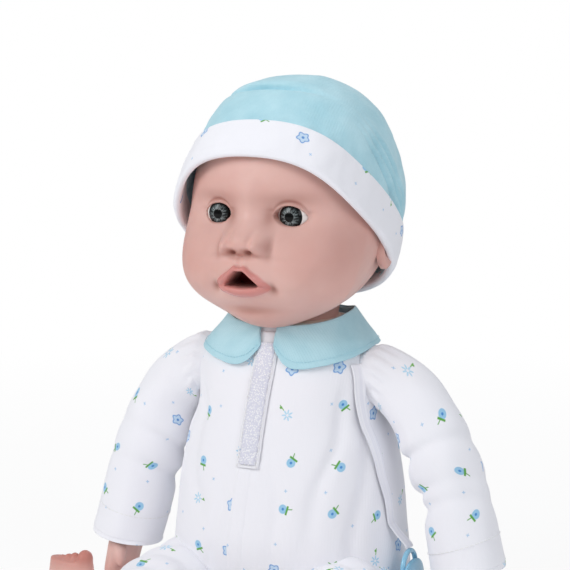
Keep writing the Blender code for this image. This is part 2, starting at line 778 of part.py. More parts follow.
def make_leg(side, label):
    reaches = (-0.012, -0.004, 0.006, 0.020, 0.040, 0.060, 0.080, 0.100, LEG_HEM_REACH)
    radii = []
    for reach in reaches:
        full = spline(LEG_RADII, reach)
        radii.append(math.sqrt(full**2 - reach**2) if reach < 0 else full)
    trouser_mesh = loft(leg_rings(side, reaches, radii), "romper_leg_" + label, False, False)
    trouser = add_object("romper_leg_" + label, trouser_mesh, PRINT_COLOUR, 0.85)
    thicken(trouser, CLOTH)

    slack = CLOTH + 0.0004
    ball = LEG_ROOT_RADIUS - slack
    reaches = [-ball * math.cos(math.radians(a)) for a in (12, 30, 48, 66, 84)]
    radii = [ball * math.sin(math.radians(a)) for a in (12, 30, 48, 66, 84)]
    for reach in (0.012, 0.030, 0.050, THIGH_END_REACH - 0.010, THIGH_END_REACH):
        reaches.append(reach)
        radii.append(spline(LEG_RADII, reach) - slack)
    radii[-1] -= 0.0035
    thigh_mesh = loft(leg_rings(side, reaches, radii), "thigh_" + label)
    thigh = add_object("thigh_" + label, thigh_mesh, BODY_CLOTH_COLOUR, 0.9)
    plug_radius = ANKLE_RADIUS - 0.002
    end_height = spline(LEG_RADII, THIGH_END_REACH) + HIP_HEIGHT - LEG_ROOT_RADIUS
    end_centre, ahead, across = leg_frame(side, THIGH_END_REACH, end_height)
    socket = cylinder("leg_plug_" + label, end_centre, plug_radius + GAP, 0.014, ahead, 16)
    cut(thigh, as_cutter("leg_plug_" + label, socket))
    seam_start = HIP_SPACING / 2 - LEG_ROOT_RADIUS - HIP_CLEARANCE - CLOTH - LOOSE_FIT
    seam_end = HIP_SPACING / 2 - 0.5 * LEG_ROOT_RADIUS
    seam_centre = Vector((side * (seam_start + seam_end) / 2, HIP_SETBACK, HIP_HEIGHT))
    seam_length = seam_end - seam_start
    seam = cylinder("hip_seam_" + label, seam_centre, HIP_SEAM_RADIUS, seam_length, (1, 0, 0), 14)
    cut(thigh, as_cutter("hip_seam_" + label, seam), "UNION")
    room = HIP_SEAM_RADIUS + 2 * GAP
    seam_room = cylinder("hip_seam_room_" + label, seam_centre, room, 2 * seam_length, (1, 0, 0), 14)
    cut(trouser, as_cutter("hip_seam_room_" + label, seam_room))

    up = Vector((0, 0, 1))
    rings = []
    for depth in (-0.0065, 0.0006):
        rings.append(oval(end_centre + ahead * depth, across, up, plug_radius, plug_radius, LIMB_SIDES))
    calf = KNEE_RADIUS - 0.0065
    rings.append(oval(end_centre + ahead * 0.0007, across, up, calf, calf, LIMB_SIDES))
    calf_stations = ((0.090, calf + 0.0005), (0.104, calf - 0.001), (LEG_HEM_REACH, ANKLE_RADIUS + 0.001))
    for reach, radius in calf_stations:
        height = spline(LEG_RADII, reach) + HIP_HEIGHT - LEG_ROOT_RADIUS
        centre, _, _ = leg_frame(side, reach, height - 0.0008)
        rings.append(oval(centre, across, up, radius, radius, LIMB_SIDES))
    ankle_height = ANKLE_RADIUS + 0.0035
    instep = 0.019
    heel = ((12, 0.0, 0.0), (38, 0.0006, 0.0006), (62, 0.0012, 0.0004), (84, 0.0016, -0.0014))
    for turn, wide, thick in heel:
        angle = math.radians(turn)
        centre, _, _ = leg_frame(side, ANKLE_REACH + instep * math.sin(angle) * 0.72, 0.0)
        centre.z = ankle_height + instep * (1 - math.cos(angle))
        inward = ahead * -math.sin(angle) + up * math.cos(angle)
        rings.append(oval(centre, across, inward, ANKLE_RADIUS + wide, ANKLE_RADIUS + thick, LIMB_SIDES))
    top, _, _ = leg_frame(side, ANKLE_REACH + instep * 0.72 + 0.0005, 0.0)
    for rise, wide, thick in ((0.010, 0.0024, -0.0032), (0.020, 0.0030, -0.0052), (0.028, 0.0022, -0.0070)):
        centre = top + up * (ankle_height + instep + rise)
        rings.append(oval(centre, across, -ahead, ANKLE_RADIUS + wide, ANKLE_RADIUS + thick, LIMB_SIDES))
    lower = add_object("lower_leg_" + label, loft(rings, "lower_leg_" + label), LIMB_COLOUR, 0.55)
    for k in range(5):
        size = 0.0048 if k == 0 else 0.0036 - 0.0002 * k
        spot = -0.0105 + (0.0 if k == 0 else 0.0030 + 0.0049 * k)
        rise = ankle_height + instep + FOOT_RISE - 0.0045 - 0.0011 * k
        centre = top + up * rise + across * (side * spot)
        name = f"toe_{k + 1}_{label}"
        cut(lower, as_cutter(name, ellipsoid(name, centre, (size, size * 1.1, size * 1.15), 8, 7)), "UNION")

    tie_radius = spline(LEG_RADII, THIGH_END_REACH) - slack - 0.0024
    tie_centre = end_centre - ahead * 0.0006
    tie = ring_tie("leg_tie_" + label, tie_centre, ahead, tie_radius, NYLON_COLOUR, TIE_THICKNESS)
    return trouser, thigh, lower, tie


# ---------------------------------------------------------------- head

HEAD_FEATURES = (
    # across, up, spread across, spread up, push along the normal, push forward
    (0.036, -0.024, 0.016, 0.016, 0.0062, 0.0),
    (0.028, -0.046, 0.014, 0.012, 0.0030, 0.0),
    (0.0, -0.060, 0.012, 0.009, 0.0045, 0.0),
    (0.0, 0.028, 0.028, 0.018, 0.0012, 0.0),
    (EYE_SPACING / 2, -EYE_DROP, 0.0105, 0.0080, 0.0, -0.0060),
    (EYE_SPACING / 2, 0.0125, 0.0130, 0.0050, 0.0012, 0.0),
    (0.0, 0.001, 0.0050, 0.0090, 0.0, 0.0022),
    (0.0, -0.0165, 0.0080, 0.0070, 0.0, 0.0092),
    (0.0088, -0.0185, 0.0048, 0.0044, 0.0, 0.0036),
    (0.0, -0.0400, 0.0150, 0.0100, 0.0, 0.0048),
    (0.0, -0.0355, 0.0090, 0.0022, 0.0, 0.0020),
    (0.0, -0.0500, 0.0075, 0.0028, 0.0, 0.0034),
    (0.0, -0.0565, 0.0090, 0.0024, 0.0, -0.0024),
)


def head_surface(direction):
    """Point of the head's skin, from the head's centre, in a direction; -Y is the face."""
    half_sizes = (HEAD_HALF_WIDTH, HEAD_HALF_DEPTH, HEAD_HALF_HEIGHT)
    scale = math.sqrt(sum((d / h) ** 2 for d, h in zip(direction, half_sizes)))
    base = direction / scale
    normal = Vector([b / h**2 for b, h in zip(base, half_sizes)]).normalized()
    facing = min(1.0, max(0.0, -base.y / 0.022))
    point = base.copy()
    for across, up, spread_across, spread_up, push, forward in HEAD_FEATURES:
        for sign in ((1,) if across == 0 else (1, -1)):
            du = (base.x - sign * across) / spread_across
            dv = (base.z - up) / spread_up
            weight = facing * math.exp(-0.5 * (du * du + dv * dv))
            point += normal * push * weight + Vector((0, -forward, 0)) * weight
    return point


def make_head():
    centre = Vector((0.0, NECK_AXIS_Y, HEAD_CENTRE_HEIGHT))
    form = bmesh.new()
    bmesh.ops.create_uvsphere(form, u_segments=HEAD_SIDES, v_segments=HEAD_RINGS, radius=1.0)
    aim = Vector((0, 0, 1)).rotation_difference(Vector((0, -1, -0.36))).to_matrix()
    for vertex in form.verts:
        from_pole = math.acos(max(-1.0, min(1.0, vertex.co.z)))
        around = math.atan2(vertex.co.y, vertex.co.x)
        closer = math.pi * (from_pole / math.pi) ** 1.3
        reach = math.sin(closer)
        direction = Vector((reach * math.cos(around), reach * math.sin(around), math.cos(closer)))
        vertex.co = centre + head_surface(aim @ direction)
    head = add_object("head_shell", to_mesh(form, "head_shell"), FACE_COLOUR, 0.55)

    for side, label in ((-1, "right"), (1, "left")):
        ear_centre = centre + Vector((side * (HEAD_HALF_WIDTH - EAR_SINK), EAR_BEHIND, -EAR_DROP))
        ear_sizes = (EAR_HALF_THICKNESS, EAR_HALF_LENGTH, EAR_HALF_HEIGHT)
        ear = ellipsoid("ear_" + label, ear_centre, ear_sizes, 10, 8)
        cut(head, as_cutter("ear_" + label, ear), "UNION")
    stub_top = HEAD_CENTRE_HEIGHT - HEAD_HALF_HEIGHT + 0.016
    stub_centre = (0, NECK_AXIS_Y, (stub_top + NECK_STUB_BOTTOM) / 2)
    stub = cylinder("neck_stub", stub_centre, NECK_RADIUS, stub_top - NECK_STUB_BOTTOM, (0, 0, 1), 32)
    cut(head, as_cutter("neck_stub", stub), "UNION")
    hollow_depth = HEAD_HALF_DEPTH - 2.4 * HEAD_WALL
    hollow_sizes = (HEAD_HALF_WIDTH - HEAD_WALL, hollow_depth, HEAD_HALF_HEIGHT - HEAD_WALL)
    hollow = ellipsoid("head_hollow", centre + Vector((0, 1.3 * HEAD_WALL, 0)), hollow_sizes, 16, 10)
    cut(head, as_cutter("head_hollow", hollow))
    bore_centre = (0, NECK_AXIS_Y, NECK_HEIGHT + 0.002)
    bore = cylinder("neck_bore", bore_centre, NECK_BORE_RADIUS, NECK_BORE_LENGTH, (0, 0, 1), 24)
    cut(head, as_cutter("neck_bore", bore))
    mouth_centre = centre + Vector((0, -HEAD_HALF_DEPTH + MOUTH_INSET, -MOUTH_DROP))
    pocket_sizes = (MOUTH_HALF_WIDTH, MOUTH_POCKET_DEPTH, MOUTH_HALF_HEIGHT)
    cut(head, as_cutter("mouth_pocket", ellipsoid("mouth_pocket", mouth_centre, pocket_sizes, 12, 8)))
    eyes = []
    for side, label in ((-1, "right"), (1, "left")):
        eye_centre = centre + Vector((side * EYE_SPACING / 2, -EYE_DEPTH, -EYE_DROP))
        room = EYE_RADIUS + GAP
        socket = ellipsoid("eye_socket_" + label, eye_centre, (room, room, room), 14, 10)
        cut(head, as_cutter("eye_socket_" + label, socket))
        ball = ellipsoid("eye_" + label, eye_centre, (EYE_RADIUS, EYE_RADIUS, EYE_RADIUS), 14, 10)
        eyes.append(add_object("eye_" + label, ball, EYE_COLOUR, 0.1))
    return [head] + eyes


# ---------------------------------------------------------------- hat

def hat_ring(height, outset, sides=26):
    """Ring of the hat at a height along its tilted axis; below the head's widest place it runs straight."""
    tilt = math.radians(HAT_TILT)
    axis = Vector((0, math.sin(tilt), math.cos(tilt)))
    along = Vector((0, math.cos(tilt), -math.sin(tilt)))
    rise = HAT_RISE + outset
    share = max(0.0, min(1.0, height / rise))
    narrowing = (1 - share**HAT_FULLNESS) ** (1 / HAT_FULLNESS)
    centre = Vector((0, NECK_AXIS_Y, HEAD_CENTRE_HEIGHT)) + axis * height
    across = Vector((1, 0, 0))
    half_across = (HAT_HALF_WIDTH + outset) * narrowing
    half_along = (HAT_HALF_LENGTH + outset) * narrowing
    return oval(centre, across, along, half_across, half_along, sides, 2.3)


def make_hat():
    crown_steps = (10, 26, 42, 57, 70, 80, 87)
    heights = [-HAT_RIM_DROP, -0.004]
    heights += [HAT_RISE * math.sin(math.radians(a)) for a in crown_steps]
    crown_mesh = loft([hat_ring(height, 0.0) for height in heights], "hat_crown", False, True)
    crown = add_object("hat_crown", crown_mesh, JERSEY_COLOUR, 0.9)
    thicken(crown, CLOTH)
    inner = GAP
    outer = GAP + CUFF_THICKNESS
    bottom = -HAT_RIM_DROP - 0.0008
    top = bottom + CUFF_HEIGHT
    middle = (bottom + top) / 2
    rounding = CUFF_THICKNESS * 0.3
    section = (
        (bottom, inner),
        (bottom, outer - rounding),
        (bottom + rounding, outer),
        (middle, outer + 0.0004),
        (top - rounding, outer),
        (top, outer - rounding),
        (top, inner),
        (middle, inner),
    )
    form = bmesh.new()
    rows = [[form.verts.new(point) for point in hat_ring(height, outset)] for height, outset in section]
    for k in range(len(rows)):
        near = rows[k]
        far = rows[(k + 1) % len(rows)]
        for j in range(len(near)):
            after = (j + 1) % len(near)
            form.faces.new((near[j], near[after], far[after], far[j]))
    cuff = add_object("hat_cuff", to_mesh(form, "hat_cuff"), PRINT_COLOUR, 0.88)
    return crown, cuff


# ---------------------------------------------------------------- voice module

def make_module():
    half_width = MODULE_WIDTH / 2
    low_z = MODULE_CENTRE_HEIGHT - MODULE_HEIGHT / 2
    high_z = MODULE_CENTRE_HEIGHT + MODULE_HEIGHT / 2
    split = MODULE_FRONT + FRONT_CASE_DEPTH
    rear = split + GAP + BACK_CASE_DEPTH
    plastic = CASE_COLOUR

    front_mesh = box("module_front", (-half_width, MODULE_FRONT, low_z), (half_width, split, high_z))
    front = add_object("module_front", front_mesh, plastic, 0.5)
    low = (-half_width + CASE_WALL, MODULE_FRONT + CASE_WALL, low_z + CASE_WALL)
    high = (half_width - CASE_WALL, split + 0.01, high_z - CASE_WALL)
    cut(front, as_cutter("front_hollow", box("front_hollow", low, high)))
    button_z = MODULE_CENTRE_HEIGHT - BUTTON_DROP
    speaker_z = MODULE_CENTRE_HEIGHT + SPEAKER_RISE
    hole = cylinder("button_hole", (0, MODULE_FRONT, button_z), BUTTON_RADIUS + GAP, 0.01, (0, 1, 0), 24)
    cut(front, as_cutter("button_hole", hole))
    for ring_radius, count in ((0.0, 1), (0.0055, 6)):
        for k in range(count):
            angle = 2 * math.pi * k / count
            spot = (ring_radius * math.cos(angle), MODULE_FRONT, speaker_z + ring_radius * math.sin(angle))
            name = f"sound_hole_{int(ring_radius * 10000)}_{k}"
            cut(front, as_cutter(name, cylinder(name, spot, 0.0013, 0.008, (0, 1, 0), 6)))

    back_mesh = box("module_back", (-half_width, split + GAP, low_z), (half_width, rear, high_z))
    back = add_object("module_back", back_mesh, plastic, 0.5)
    board_room = BOARD_THICKNESS + 2 * GAP
    low = (-half_width + CASE_WALL, split - 0.01, low_z + CASE_WALL)
    high = (half_width - CASE_WALL, split + GAP + board_room, high_z - CASE_WALL)
    cut(back, as_cutter("board_recess", box("board_recess", low, high)))
    door_thickness = CASE_WALL
    bay_half_width = CELL_LENGTH / 2 + 0.0016
    bay_half_height = 2 * CELL_RADIUS + 0.0008
    bay_front = rear - door_thickness - GAP - 2 * CELL_RADIUS - 2 * GAP
    low = (-bay_half_width, bay_front, MODULE_CENTRE_HEIGHT - bay_half_height)
    high = (bay_half_width, rear + 0.01, MODULE_CENTRE_HEIGHT + bay_half_height)
    cut(back, as_cutter("battery_bay", box("battery_bay", low, high)))
    ledge = 0.0022
    door_front = rear - door_thickness
    low = (-bay_half_width - ledge, door_front - GAP, MODULE_CENTRE_HEIGHT - bay_half_height - ledge)
    high = (bay_half_width + ledge, rear + 0.01, MODULE_CENTRE_HEIGHT + bay_half_height + 3.2 * ledge)
    cut(back, as_cutter("door_recess", box("door_recess", low, high)))
    screw_z = MODULE_CENTRE_HEIGHT + bay_half_height + 1.5 * ledge
    screw_hole = cylinder("screw_hole", (0, rear, screw_z), SCREW_RADIUS * 0.5 + GAP, 0.012, (0, 1, 0), 12)
    cut(back, as_cutter("screw_hole", screw_hole))

    low = (-bay_half_width - ledge + GAP, door_front, MODULE_CENTRE_HEIGHT - bay_half_height - ledge + GAP)
    high = (bay_half_width + ledge - GAP, rear, MODULE_CENTRE_HEIGHT + bay_half_height + 3.2 * ledge - GAP)
    door = add_object("battery_door", box("battery_door", low, high), plastic, 0.5)
    door_hole = cylinder("door_hole", (0, rear, screw_z), SCREW_RADIUS + GAP, 0.002, (0, 1, 0), 16)
    cut(door, as_cutter("door_hole", door_hole))
    shank_hole = cylinder("shank_hole", (0, rear, screw_z), SCREW_RADIUS * 0.5 + GAP, 0.012, (0, 1, 0), 12)
    cut(door, as_cutter("shank_hole", shank_hole))
    head_depth = 0.0008
    screw_centre = (0, rear - head_depth / 2 - 0.0001, screw_z)
    screw_mesh = cylinder("door_screw", screw_centre, SCREW_RADIUS, head_depth, (0, 1, 0), 16)
    screw = add_object("door_screw", screw_mesh, STEEL_COLOUR, 0.3, metal=True)
    shank = cylinder("screw_shank", (0, rear - 0.0030, screw_z), SCREW_RADIUS * 0.5, 0.0048, (0, 1, 0), 12)
    cut(screw, as_cutter("screw_shank", shank), "UNION")

    cells = []
    for sign, label in ((1, "upper"), (-1, "lower")):
        centre_z = MODULE_CENTRE_HEIGHT + sign * (CELL_RADIUS + GAP)
        centre = (0, bay_front + CELL_RADIUS + GAP, centre_z)
        mesh = cylinder("cell_" + label, centre, CELL_RADIUS, CELL_LENGTH, (1, 0, 0), 20)
        cells.append(add_object("cell_" + label, mesh, CELL_COLOUR, 0.35))
    contacts = []
    for sign, label in ((-1, "right"), (1, "left")):
        inner_x = sign * (CELL_LENGTH / 2 + GAP)
        outer_x = sign * (CELL_LENGTH / 2 + GAP + 0.0009)
        reach = bay_half_height - GAP
        low = (min(inner_x, outer_x), bay_front + GAP, MODULE_CENTRE_HEIGHT - reach)
        high = (max(inner_x, outer_x), bay_front + 2 * CELL_RADIUS, MODULE_CENTRE_HEIGHT + reach)
        mesh = box("contact_" + label, low, high)
        contacts.append(add_object("contact_" + label, mesh, STEEL_COLOUR, 0.25, metal=True))

    board_front = split + 2 * GAP
    low = (-half_width + CASE_WALL + GAP, board_front, low_z + CASE_WALL + GAP)
    high = (half_width - CASE_WALL - GAP, board_front + BOARD_THICKNESS, high_z - CASE_WALL - GAP)
    board = add_object("circuit_board", box("circuit_board", low, high), BOARD_COLOUR, 0.45)

    speaker_front = MODULE_FRONT + CASE_WALL + GAP
    speaker_mesh = cylinder(
        "speaker",
        (0, speaker_front + SPEAKER_DEPTH / 2, speaker_z),
        SPEAKER_RADIUS,
        SPEAKER_DEPTH,
        (0, 1, 0),
        20,
        SPEAKER_RADIUS * 0.55,
    )
    speaker = add_object("speaker", speaker_mesh, SPEAKER_COLOUR, 0.5)
    cone = ellipsoid("speaker_cone", (0, speaker_front, speaker_z), (0.0125, 0.0035, 0.0125), 16, 8)
    cut(speaker, as_cutter("speaker_cone", cone))

    button_front = MODULE_FRONT - BUTTON_PROUD
    flange_front = MODULE_FRONT + CASE_WALL + GAP
    cap_length = flange_front - button_front + 0.0006
    cap_centre = (0, button_front + cap_length / 2, button_z)
    cap = cylinder("push_button", cap_centre, BUTTON_RADIUS, cap_length, (0, 1, 0), 24)
    button = add_object("push_button", cap, BUTTON_COLOUR, 0.45)
    flange_thickness = 0.0012
    flange_centre = (0, flange_front + flange_thickness / 2, button_z)
    flange_radius = BUTTON_RADIUS + 0.0012
    flange_mesh = cylinder("button_flange", flange_centre, flange_radius, flange_thickness, (0, 1, 0), 24)
    cut(button, as_cutter("button_flange", flange_mesh), "UNION")
    spring = make_button_spring(flange_front + flange_thickness + GAP, board_front - GAP, button_z)
    return [front, back, door, screw, *cells, *contacts, board, speaker], button, spring


def make_button_spring(front, back, height):
    """Compression spring between the button's flange and the circuit board."""
    wire = 0.00035
    coil = BUTTON_RADIUS * 0.5
    turns = 4
    steps = 10
    curve = bpy.data.curves.new("button_spring", "CURVE")
    curve.dimensions = "3D"
    curve.bevel_depth = wire
    curve.bevel_resolution = 0
    curve.use_fill_caps = True
    path = curve.splines.new("POLY")
    path.points.add(turns * steps)
    start = front + wire
    end = back - wire
    for k in range(turns * steps + 1):
        angle = 2 * math.pi * k / steps
        y = start + (end - start) * k / (turns * steps)
        point = (coil * math.cos(angle), y, height + coil * math.sin(angle), 1.0)
        path.points[k].co = point
    thing = bpy.data.objects.new("button_spring", curve)
    parts.objects.link(thing)
    curve.materials.append(finish("button_spring_metal", STEEL_COLOUR, 0.25))
    return thing


# ---------------------------------------------------------------- pacifier

def make_pacifier():
    """Shield on edge, its teat outwards, and the grip ring moulded to its inner face."""
    pale_blue = PACIFIER_COLOUR
    ring_height = PACIFIER_TOP - RING_RADIUS - RING_THICKNESS / 2
    ring_centre = Vector((PACIFIER_X, PACIFIER_Y, ring_height))
    inner_radius = RING_RADIUS - RING_THICKNESS / 2
    ring = ring_tie("pacifier_ring", ring_centre, (1, 0, 0), inner_radius, pale_blue, RING_THICKNESS, 18)
    shield_x = PACIFIER_X + RING_THICKNESS / 2 + GAP + SHIELD_THICKNESS / 2
    centre = Vector((shield_x, PACIFIER_Y, ring_height - SHIELD_RADIUS * 0.5))
    form = bmesh.new()
    bmesh.ops.create_uvsphere(form, u_segments=22, v_segments=8, radius=1.0)
    for vertex in form.verts:
        x, y, z = vertex.co
        waist = 1.0 - 0.18 * abs(y)
        flat = math.copysign(min(abs(z) * 1.6, 1.0) ** 0.5, z) * SHIELD_THICKNESS / 2
        vertex.co = centre + Vector((flat, x * SHIELD_RADIUS, y * SHIELD_RADIUS * waist))
    shield = add_object("pacifier_shield", to_mesh(form, "pacifier_shield"), pale_blue, 0.3)
    start = centre.x + SHIELD_THICKNESS / 2 + GAP
    across = Vector((0, 1, 0))
    up = Vector((0, 0, 1))
    rings = []
    bulb = ((0.0, 1.0), (0.12, 0.72), (0.35, 0.70), (0.6, 1.0), (0.82, 0.92), (0.95, 0.6), (1.0, 0.2))
    for share, size in bulb:
        place = Vector((start + TEAT_LENGTH * share, centre.y, centre.z))
        rings.append(oval(place, across, up, TEAT_RADIUS * size, TEAT_RADIUS * size, 12))
    teat = add_object("pacifier_teat", loft(rings, "pacifier_teat"), TEAT_COLOUR, 0.3)
    return shield, teat, ring


# ---------------------------------------------------------------- assembly

def build():
    global parts, cutters
    clear_scene()
    parts = add_collection("interactive_baby_doll")
    cutters = add_collection("cutters")

    make_trunk()
    romper = make_romper()
    make_romper_openings(romper)
    tie_centre = (0, NECK_AXIS_Y, NECK_CASING_TOP - NECK_TIE_DROP)
    tie_radius = NECK_RADIUS + NECK_CASING_WALL + 2 * GAP
    ring_tie("neck_tie", tie_centre, (0, 0, 1), tie_radius, NYLON_COLOUR, NECK_TIE_THICKNESS, 24)
    make_collar(-1, "right")
    make_collar(1, "left")
    placket_size = (PLACKET_WIDTH, PLACKET_TOP, PLACKET_BOTTOM)
    front_strip("front_placket", *placket_size, STAND_OFF, STRIP_THICKNESS, PRINT_COLOUR)
    tape_outset = STAND_OFF + STRIP_THICKNESS + GAP
    tape_size = (TAPE_WIDTH, PLACKET_TOP - TAPE_INSET, PLACKET_BOTTOM + TAPE_INSET)
    front_strip("hook_tape", *tape_size, tape_outset, STRIP_THICKNESS, TAPE_COLOUR)
    make_ribbon()

    head_pivot = add_pivot("head_pivot", Vector((0, NECK_AXIS_Y, NECK_HEIGHT)), HEAD_TURN)
    hang_on(head_pivot, make_head())
    hang_on(head_pivot, make_hat())
    for side, label in ((-1, "right"), (1, "left")):
        shoulder_place = Vector((side * SHOULDER_HALF_WIDTH, 0, SHOULDER_HEIGHT))
        shoulder = add_pivot("shoulder_pivot_" + label, shoulder_place)
        hang_on(shoulder, make_arm(side, label))
        hip = add_pivot("hip_pivot_" + label, Vector((side * HIP_SPACING / 2, HIP_SETBACK, HIP_HEIGHT)))
        hang_on(hip, make_leg(side, label))
    _, button, spring = make_module()
    button_pivot = add_pivot("button_pivot", Vector((0, MODULE_FRONT, MODULE_CENTRE_HEIGHT - BUTTON_DROP)))
    hang_on(button_pivot, (button,))
    pacifier_pivot = add_pivot("pacifier_pivot", Vector((PACIFIER_X, PACIFIER_Y, PACIFIER_TOP)))
    hang_on(pacifier_pivot, make_pacifier())


build()
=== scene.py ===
"""An interactive baby doll in its romper and hat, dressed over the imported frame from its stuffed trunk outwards.

The doll looks along -Y, its left is +X, and it sits on z = 0. Lengths are in metres.
"""

import math

import bmesh
import bpy
import numpy as np
from mathutils import Matrix, Vector, noise


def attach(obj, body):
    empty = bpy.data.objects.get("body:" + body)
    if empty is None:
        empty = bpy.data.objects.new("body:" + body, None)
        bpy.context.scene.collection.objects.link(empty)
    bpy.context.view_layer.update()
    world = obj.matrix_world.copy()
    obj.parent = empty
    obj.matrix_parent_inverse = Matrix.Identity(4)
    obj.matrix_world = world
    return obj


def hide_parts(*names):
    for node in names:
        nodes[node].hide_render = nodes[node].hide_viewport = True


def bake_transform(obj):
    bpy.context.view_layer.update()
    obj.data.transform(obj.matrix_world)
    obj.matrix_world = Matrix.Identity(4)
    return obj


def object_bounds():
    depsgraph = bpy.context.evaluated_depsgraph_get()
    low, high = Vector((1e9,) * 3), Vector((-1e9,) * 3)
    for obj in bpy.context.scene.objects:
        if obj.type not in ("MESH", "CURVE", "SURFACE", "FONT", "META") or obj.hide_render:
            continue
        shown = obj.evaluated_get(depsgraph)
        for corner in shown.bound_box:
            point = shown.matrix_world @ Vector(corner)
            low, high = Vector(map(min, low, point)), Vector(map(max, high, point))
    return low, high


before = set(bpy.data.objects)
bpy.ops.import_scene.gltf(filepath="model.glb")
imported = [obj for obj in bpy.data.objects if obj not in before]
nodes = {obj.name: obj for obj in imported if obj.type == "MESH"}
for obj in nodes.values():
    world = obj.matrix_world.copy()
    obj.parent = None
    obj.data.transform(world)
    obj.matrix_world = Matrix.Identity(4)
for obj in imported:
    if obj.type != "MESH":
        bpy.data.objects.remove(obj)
cad_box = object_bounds()

# ------------------------------------------------------------------ studio
# A small tabletop studio: white paper under the doll, two large soft boxes and a pale sky of bounced
# light. The camera stands a little to the doll's left and just above its eyes, as a catalogue picture is taken.

view_azimuth = math.radians(25.0)
view_elevation = math.radians(8.0)
view_distance = 1.3
picture_width = 0.342
look_at = Vector((-0.0041, -0.0019, 0.208))

camera_data = bpy.data.cameras.new("camera")
camera_data.angle = 2 * math.atan(picture_width / 2 / view_distance)
camera = bpy.data.objects.new("camera", camera_data)
bpy.context.scene.collection.objects.link(camera)
toward_camera = Vector((
    math.sin(view_azimuth) * math.cos(view_elevation),
    -math.cos(view_azimuth) * math.cos(view_elevation),
    math.sin(view_elevation),
))
camera.location = look_at + toward_camera * view_distance
camera.rotation_euler = (-toward_camera).to_track_quat("-Z", "Y").to_euler()
bpy.context.scene.camera = camera
bpy.context.scene.view_settings.view_transform = "Standard"


def from_hex(code):
    """An sRGB hex colour as linear red, green, blue and alpha."""
    levels = [int(code[k:k + 2], 16) / 255 for k in (1, 3, 5)]
    return (*[c / 12.92 if c <= 0.04045 else ((c + 0.055) / 1.055) ** 2.4 for c in levels], 1.0)


def add(tree, kind, *inputs, at=None, **settings):
    """Add a shader node: inputs go to its sockets in order (None skips one), at gives others by name."""
    node = tree.nodes.new("ShaderNode" + kind)
    for key, value in settings.items():
        setattr(node, key, value)
    chosen = dict(enumerate(inputs))
    chosen.update(at or {})
    for socket, value in chosen.items():
        if isinstance(value, bpy.types.NodeSocket):
            tree.links.new(value, node.inputs[socket])
        elif value is not None:
            node.inputs[socket].default_value = value
    return node


def new_material(name, roughness, **sockets):
    """A Principled material, its plain numbers set on the shader's own sockets."""
    material = bpy.data.materials.new(name)
    material.use_nodes = True
    tree = material.node_tree
    shader = tree.nodes["Principled BSDF"]
    shader.inputs["Roughness"].default_value = roughness
    for socket, value in sockets.items():
        shader.inputs[socket.replace("_", " ")].default_value = value
    return material, tree, shader


def ramp(tree, factor, low, high):
    """A colour ramp between two (position, colour code) stops."""
    node = add(tree, "ValToRGB", factor)
    for stop, (position, code) in zip(node.color_ramp.elements, (low, high)):
        stop.position, stop.color = position, from_hex(code)
    return node


for name, place, size, energy, colour in (
    ("soft_box_left", (-0.75, -1.15, 1.05), 0.9, 11.5, "#FFFFFF"),
    ("soft_box_right", (1.25, -0.75, 0.75), 0.8, 5.0, "#F8FAFF"),
    ("soft_box_top", (0.1, 0.35, 1.5), 1.0, 4.6, "#FFFFFF"),
):
    lamp_data = bpy.data.lights.new(name, "AREA")
    lamp_data.shape = "SQUARE"
    lamp_data.size = size
    lamp_data.energy = energy
    lamp_data.color = from_hex(colour)[:3]
    lamp = bpy.data.objects.new(name, lamp_data)
    lamp.location = place
    lamp.rotation_euler = (Vector((0.0, 0.0, 0.18)) - Vector(place)).to_track_quat("-Z", "Y").to_euler()
    bpy.context.scene.collection.objects.link(lamp)

world = bpy.data.worlds.new("studio")
bpy.context.scene.world = world
world.use_nodes = True
sky = world.node_tree
path = add(sky, "LightPath")
seen = add(sky, "Math", path.outputs["Is Camera Ray"], path.outputs["Is Transmission Ray"],
           operation="MAXIMUM")
ambient = sky.nodes["Background"]
ambient.inputs["Color"].default_value = from_hex("#F1F3F7")
ambient.inputs["Strength"].default_value = 0.42
white = add(sky, "Background", from_hex("#FFFFFF"), 1.0)
choice = add(sky, "MixShader", seen.outputs[0], ambient.outputs[0], white.outputs[0])
sky.links.new(choice.outputs[0], sky.nodes["World Output"].inputs[0])

floor_half = 3.0
floor_level = cad_box[0][2] - 0.0005
floor_mesh = bpy.data.meshes.new("paper_floor")
floor_mesh.from_pydata(
    [(x, y, floor_level) for x, y in ((-floor_half, -floor_half), (floor_half, -floor_half),
                                      (floor_half, floor_half), (-floor_half,
                                                                 floor_half))], [], [(0, 1, 2, 3)])
paper_floor = bpy.data.objects.new("paper_floor", floor_mesh)
bpy.context.scene.collection.objects.link(paper_floor)
# matt white seamless paper: the camera sees it as white, more so farther off, and it keeps the doll's shadow
paper, tree, shader = new_material("seamless_paper", 0.9)
grain = add(tree, "TexNoise", add(tree, "TexCoord").outputs["Object"], at={"Scale": 220.0})
tint = add(tree, "MapRange", grain.outputs[0], 0.3, 0.7, 0.93, 0.96)
tree.links.new(tint.outputs[0], shader.inputs["Base Color"])
glow = add(tree, "Emission", from_hex("#FFFFFF"), 1.0)
far = add(tree, "VectorMath", add(tree, "TexCoord").outputs["Object"], operation="LENGTH")
fade = add(tree, "MapRange", far.outputs["Value"], 0.25, 1.0, 0.88, 1.0)
lit = add(tree, "MixShader", fade.outputs[0], shader.outputs[0], glow.outputs[0])
path = add(tree, "LightPath")
seen = add(tree, "Math", path.outputs["Is Camera Ray"], path.outputs["Is Transmission Ray"],
           operation="MAXIMUM")
choice = add(tree, "MixShader", seen.outputs[0], shader.outputs[0], lit.outputs[0])
tree.links.new(choice.outputs[0], tree.nodes["Material Output"].inputs[0])
floor_mesh.materials.append(paper)

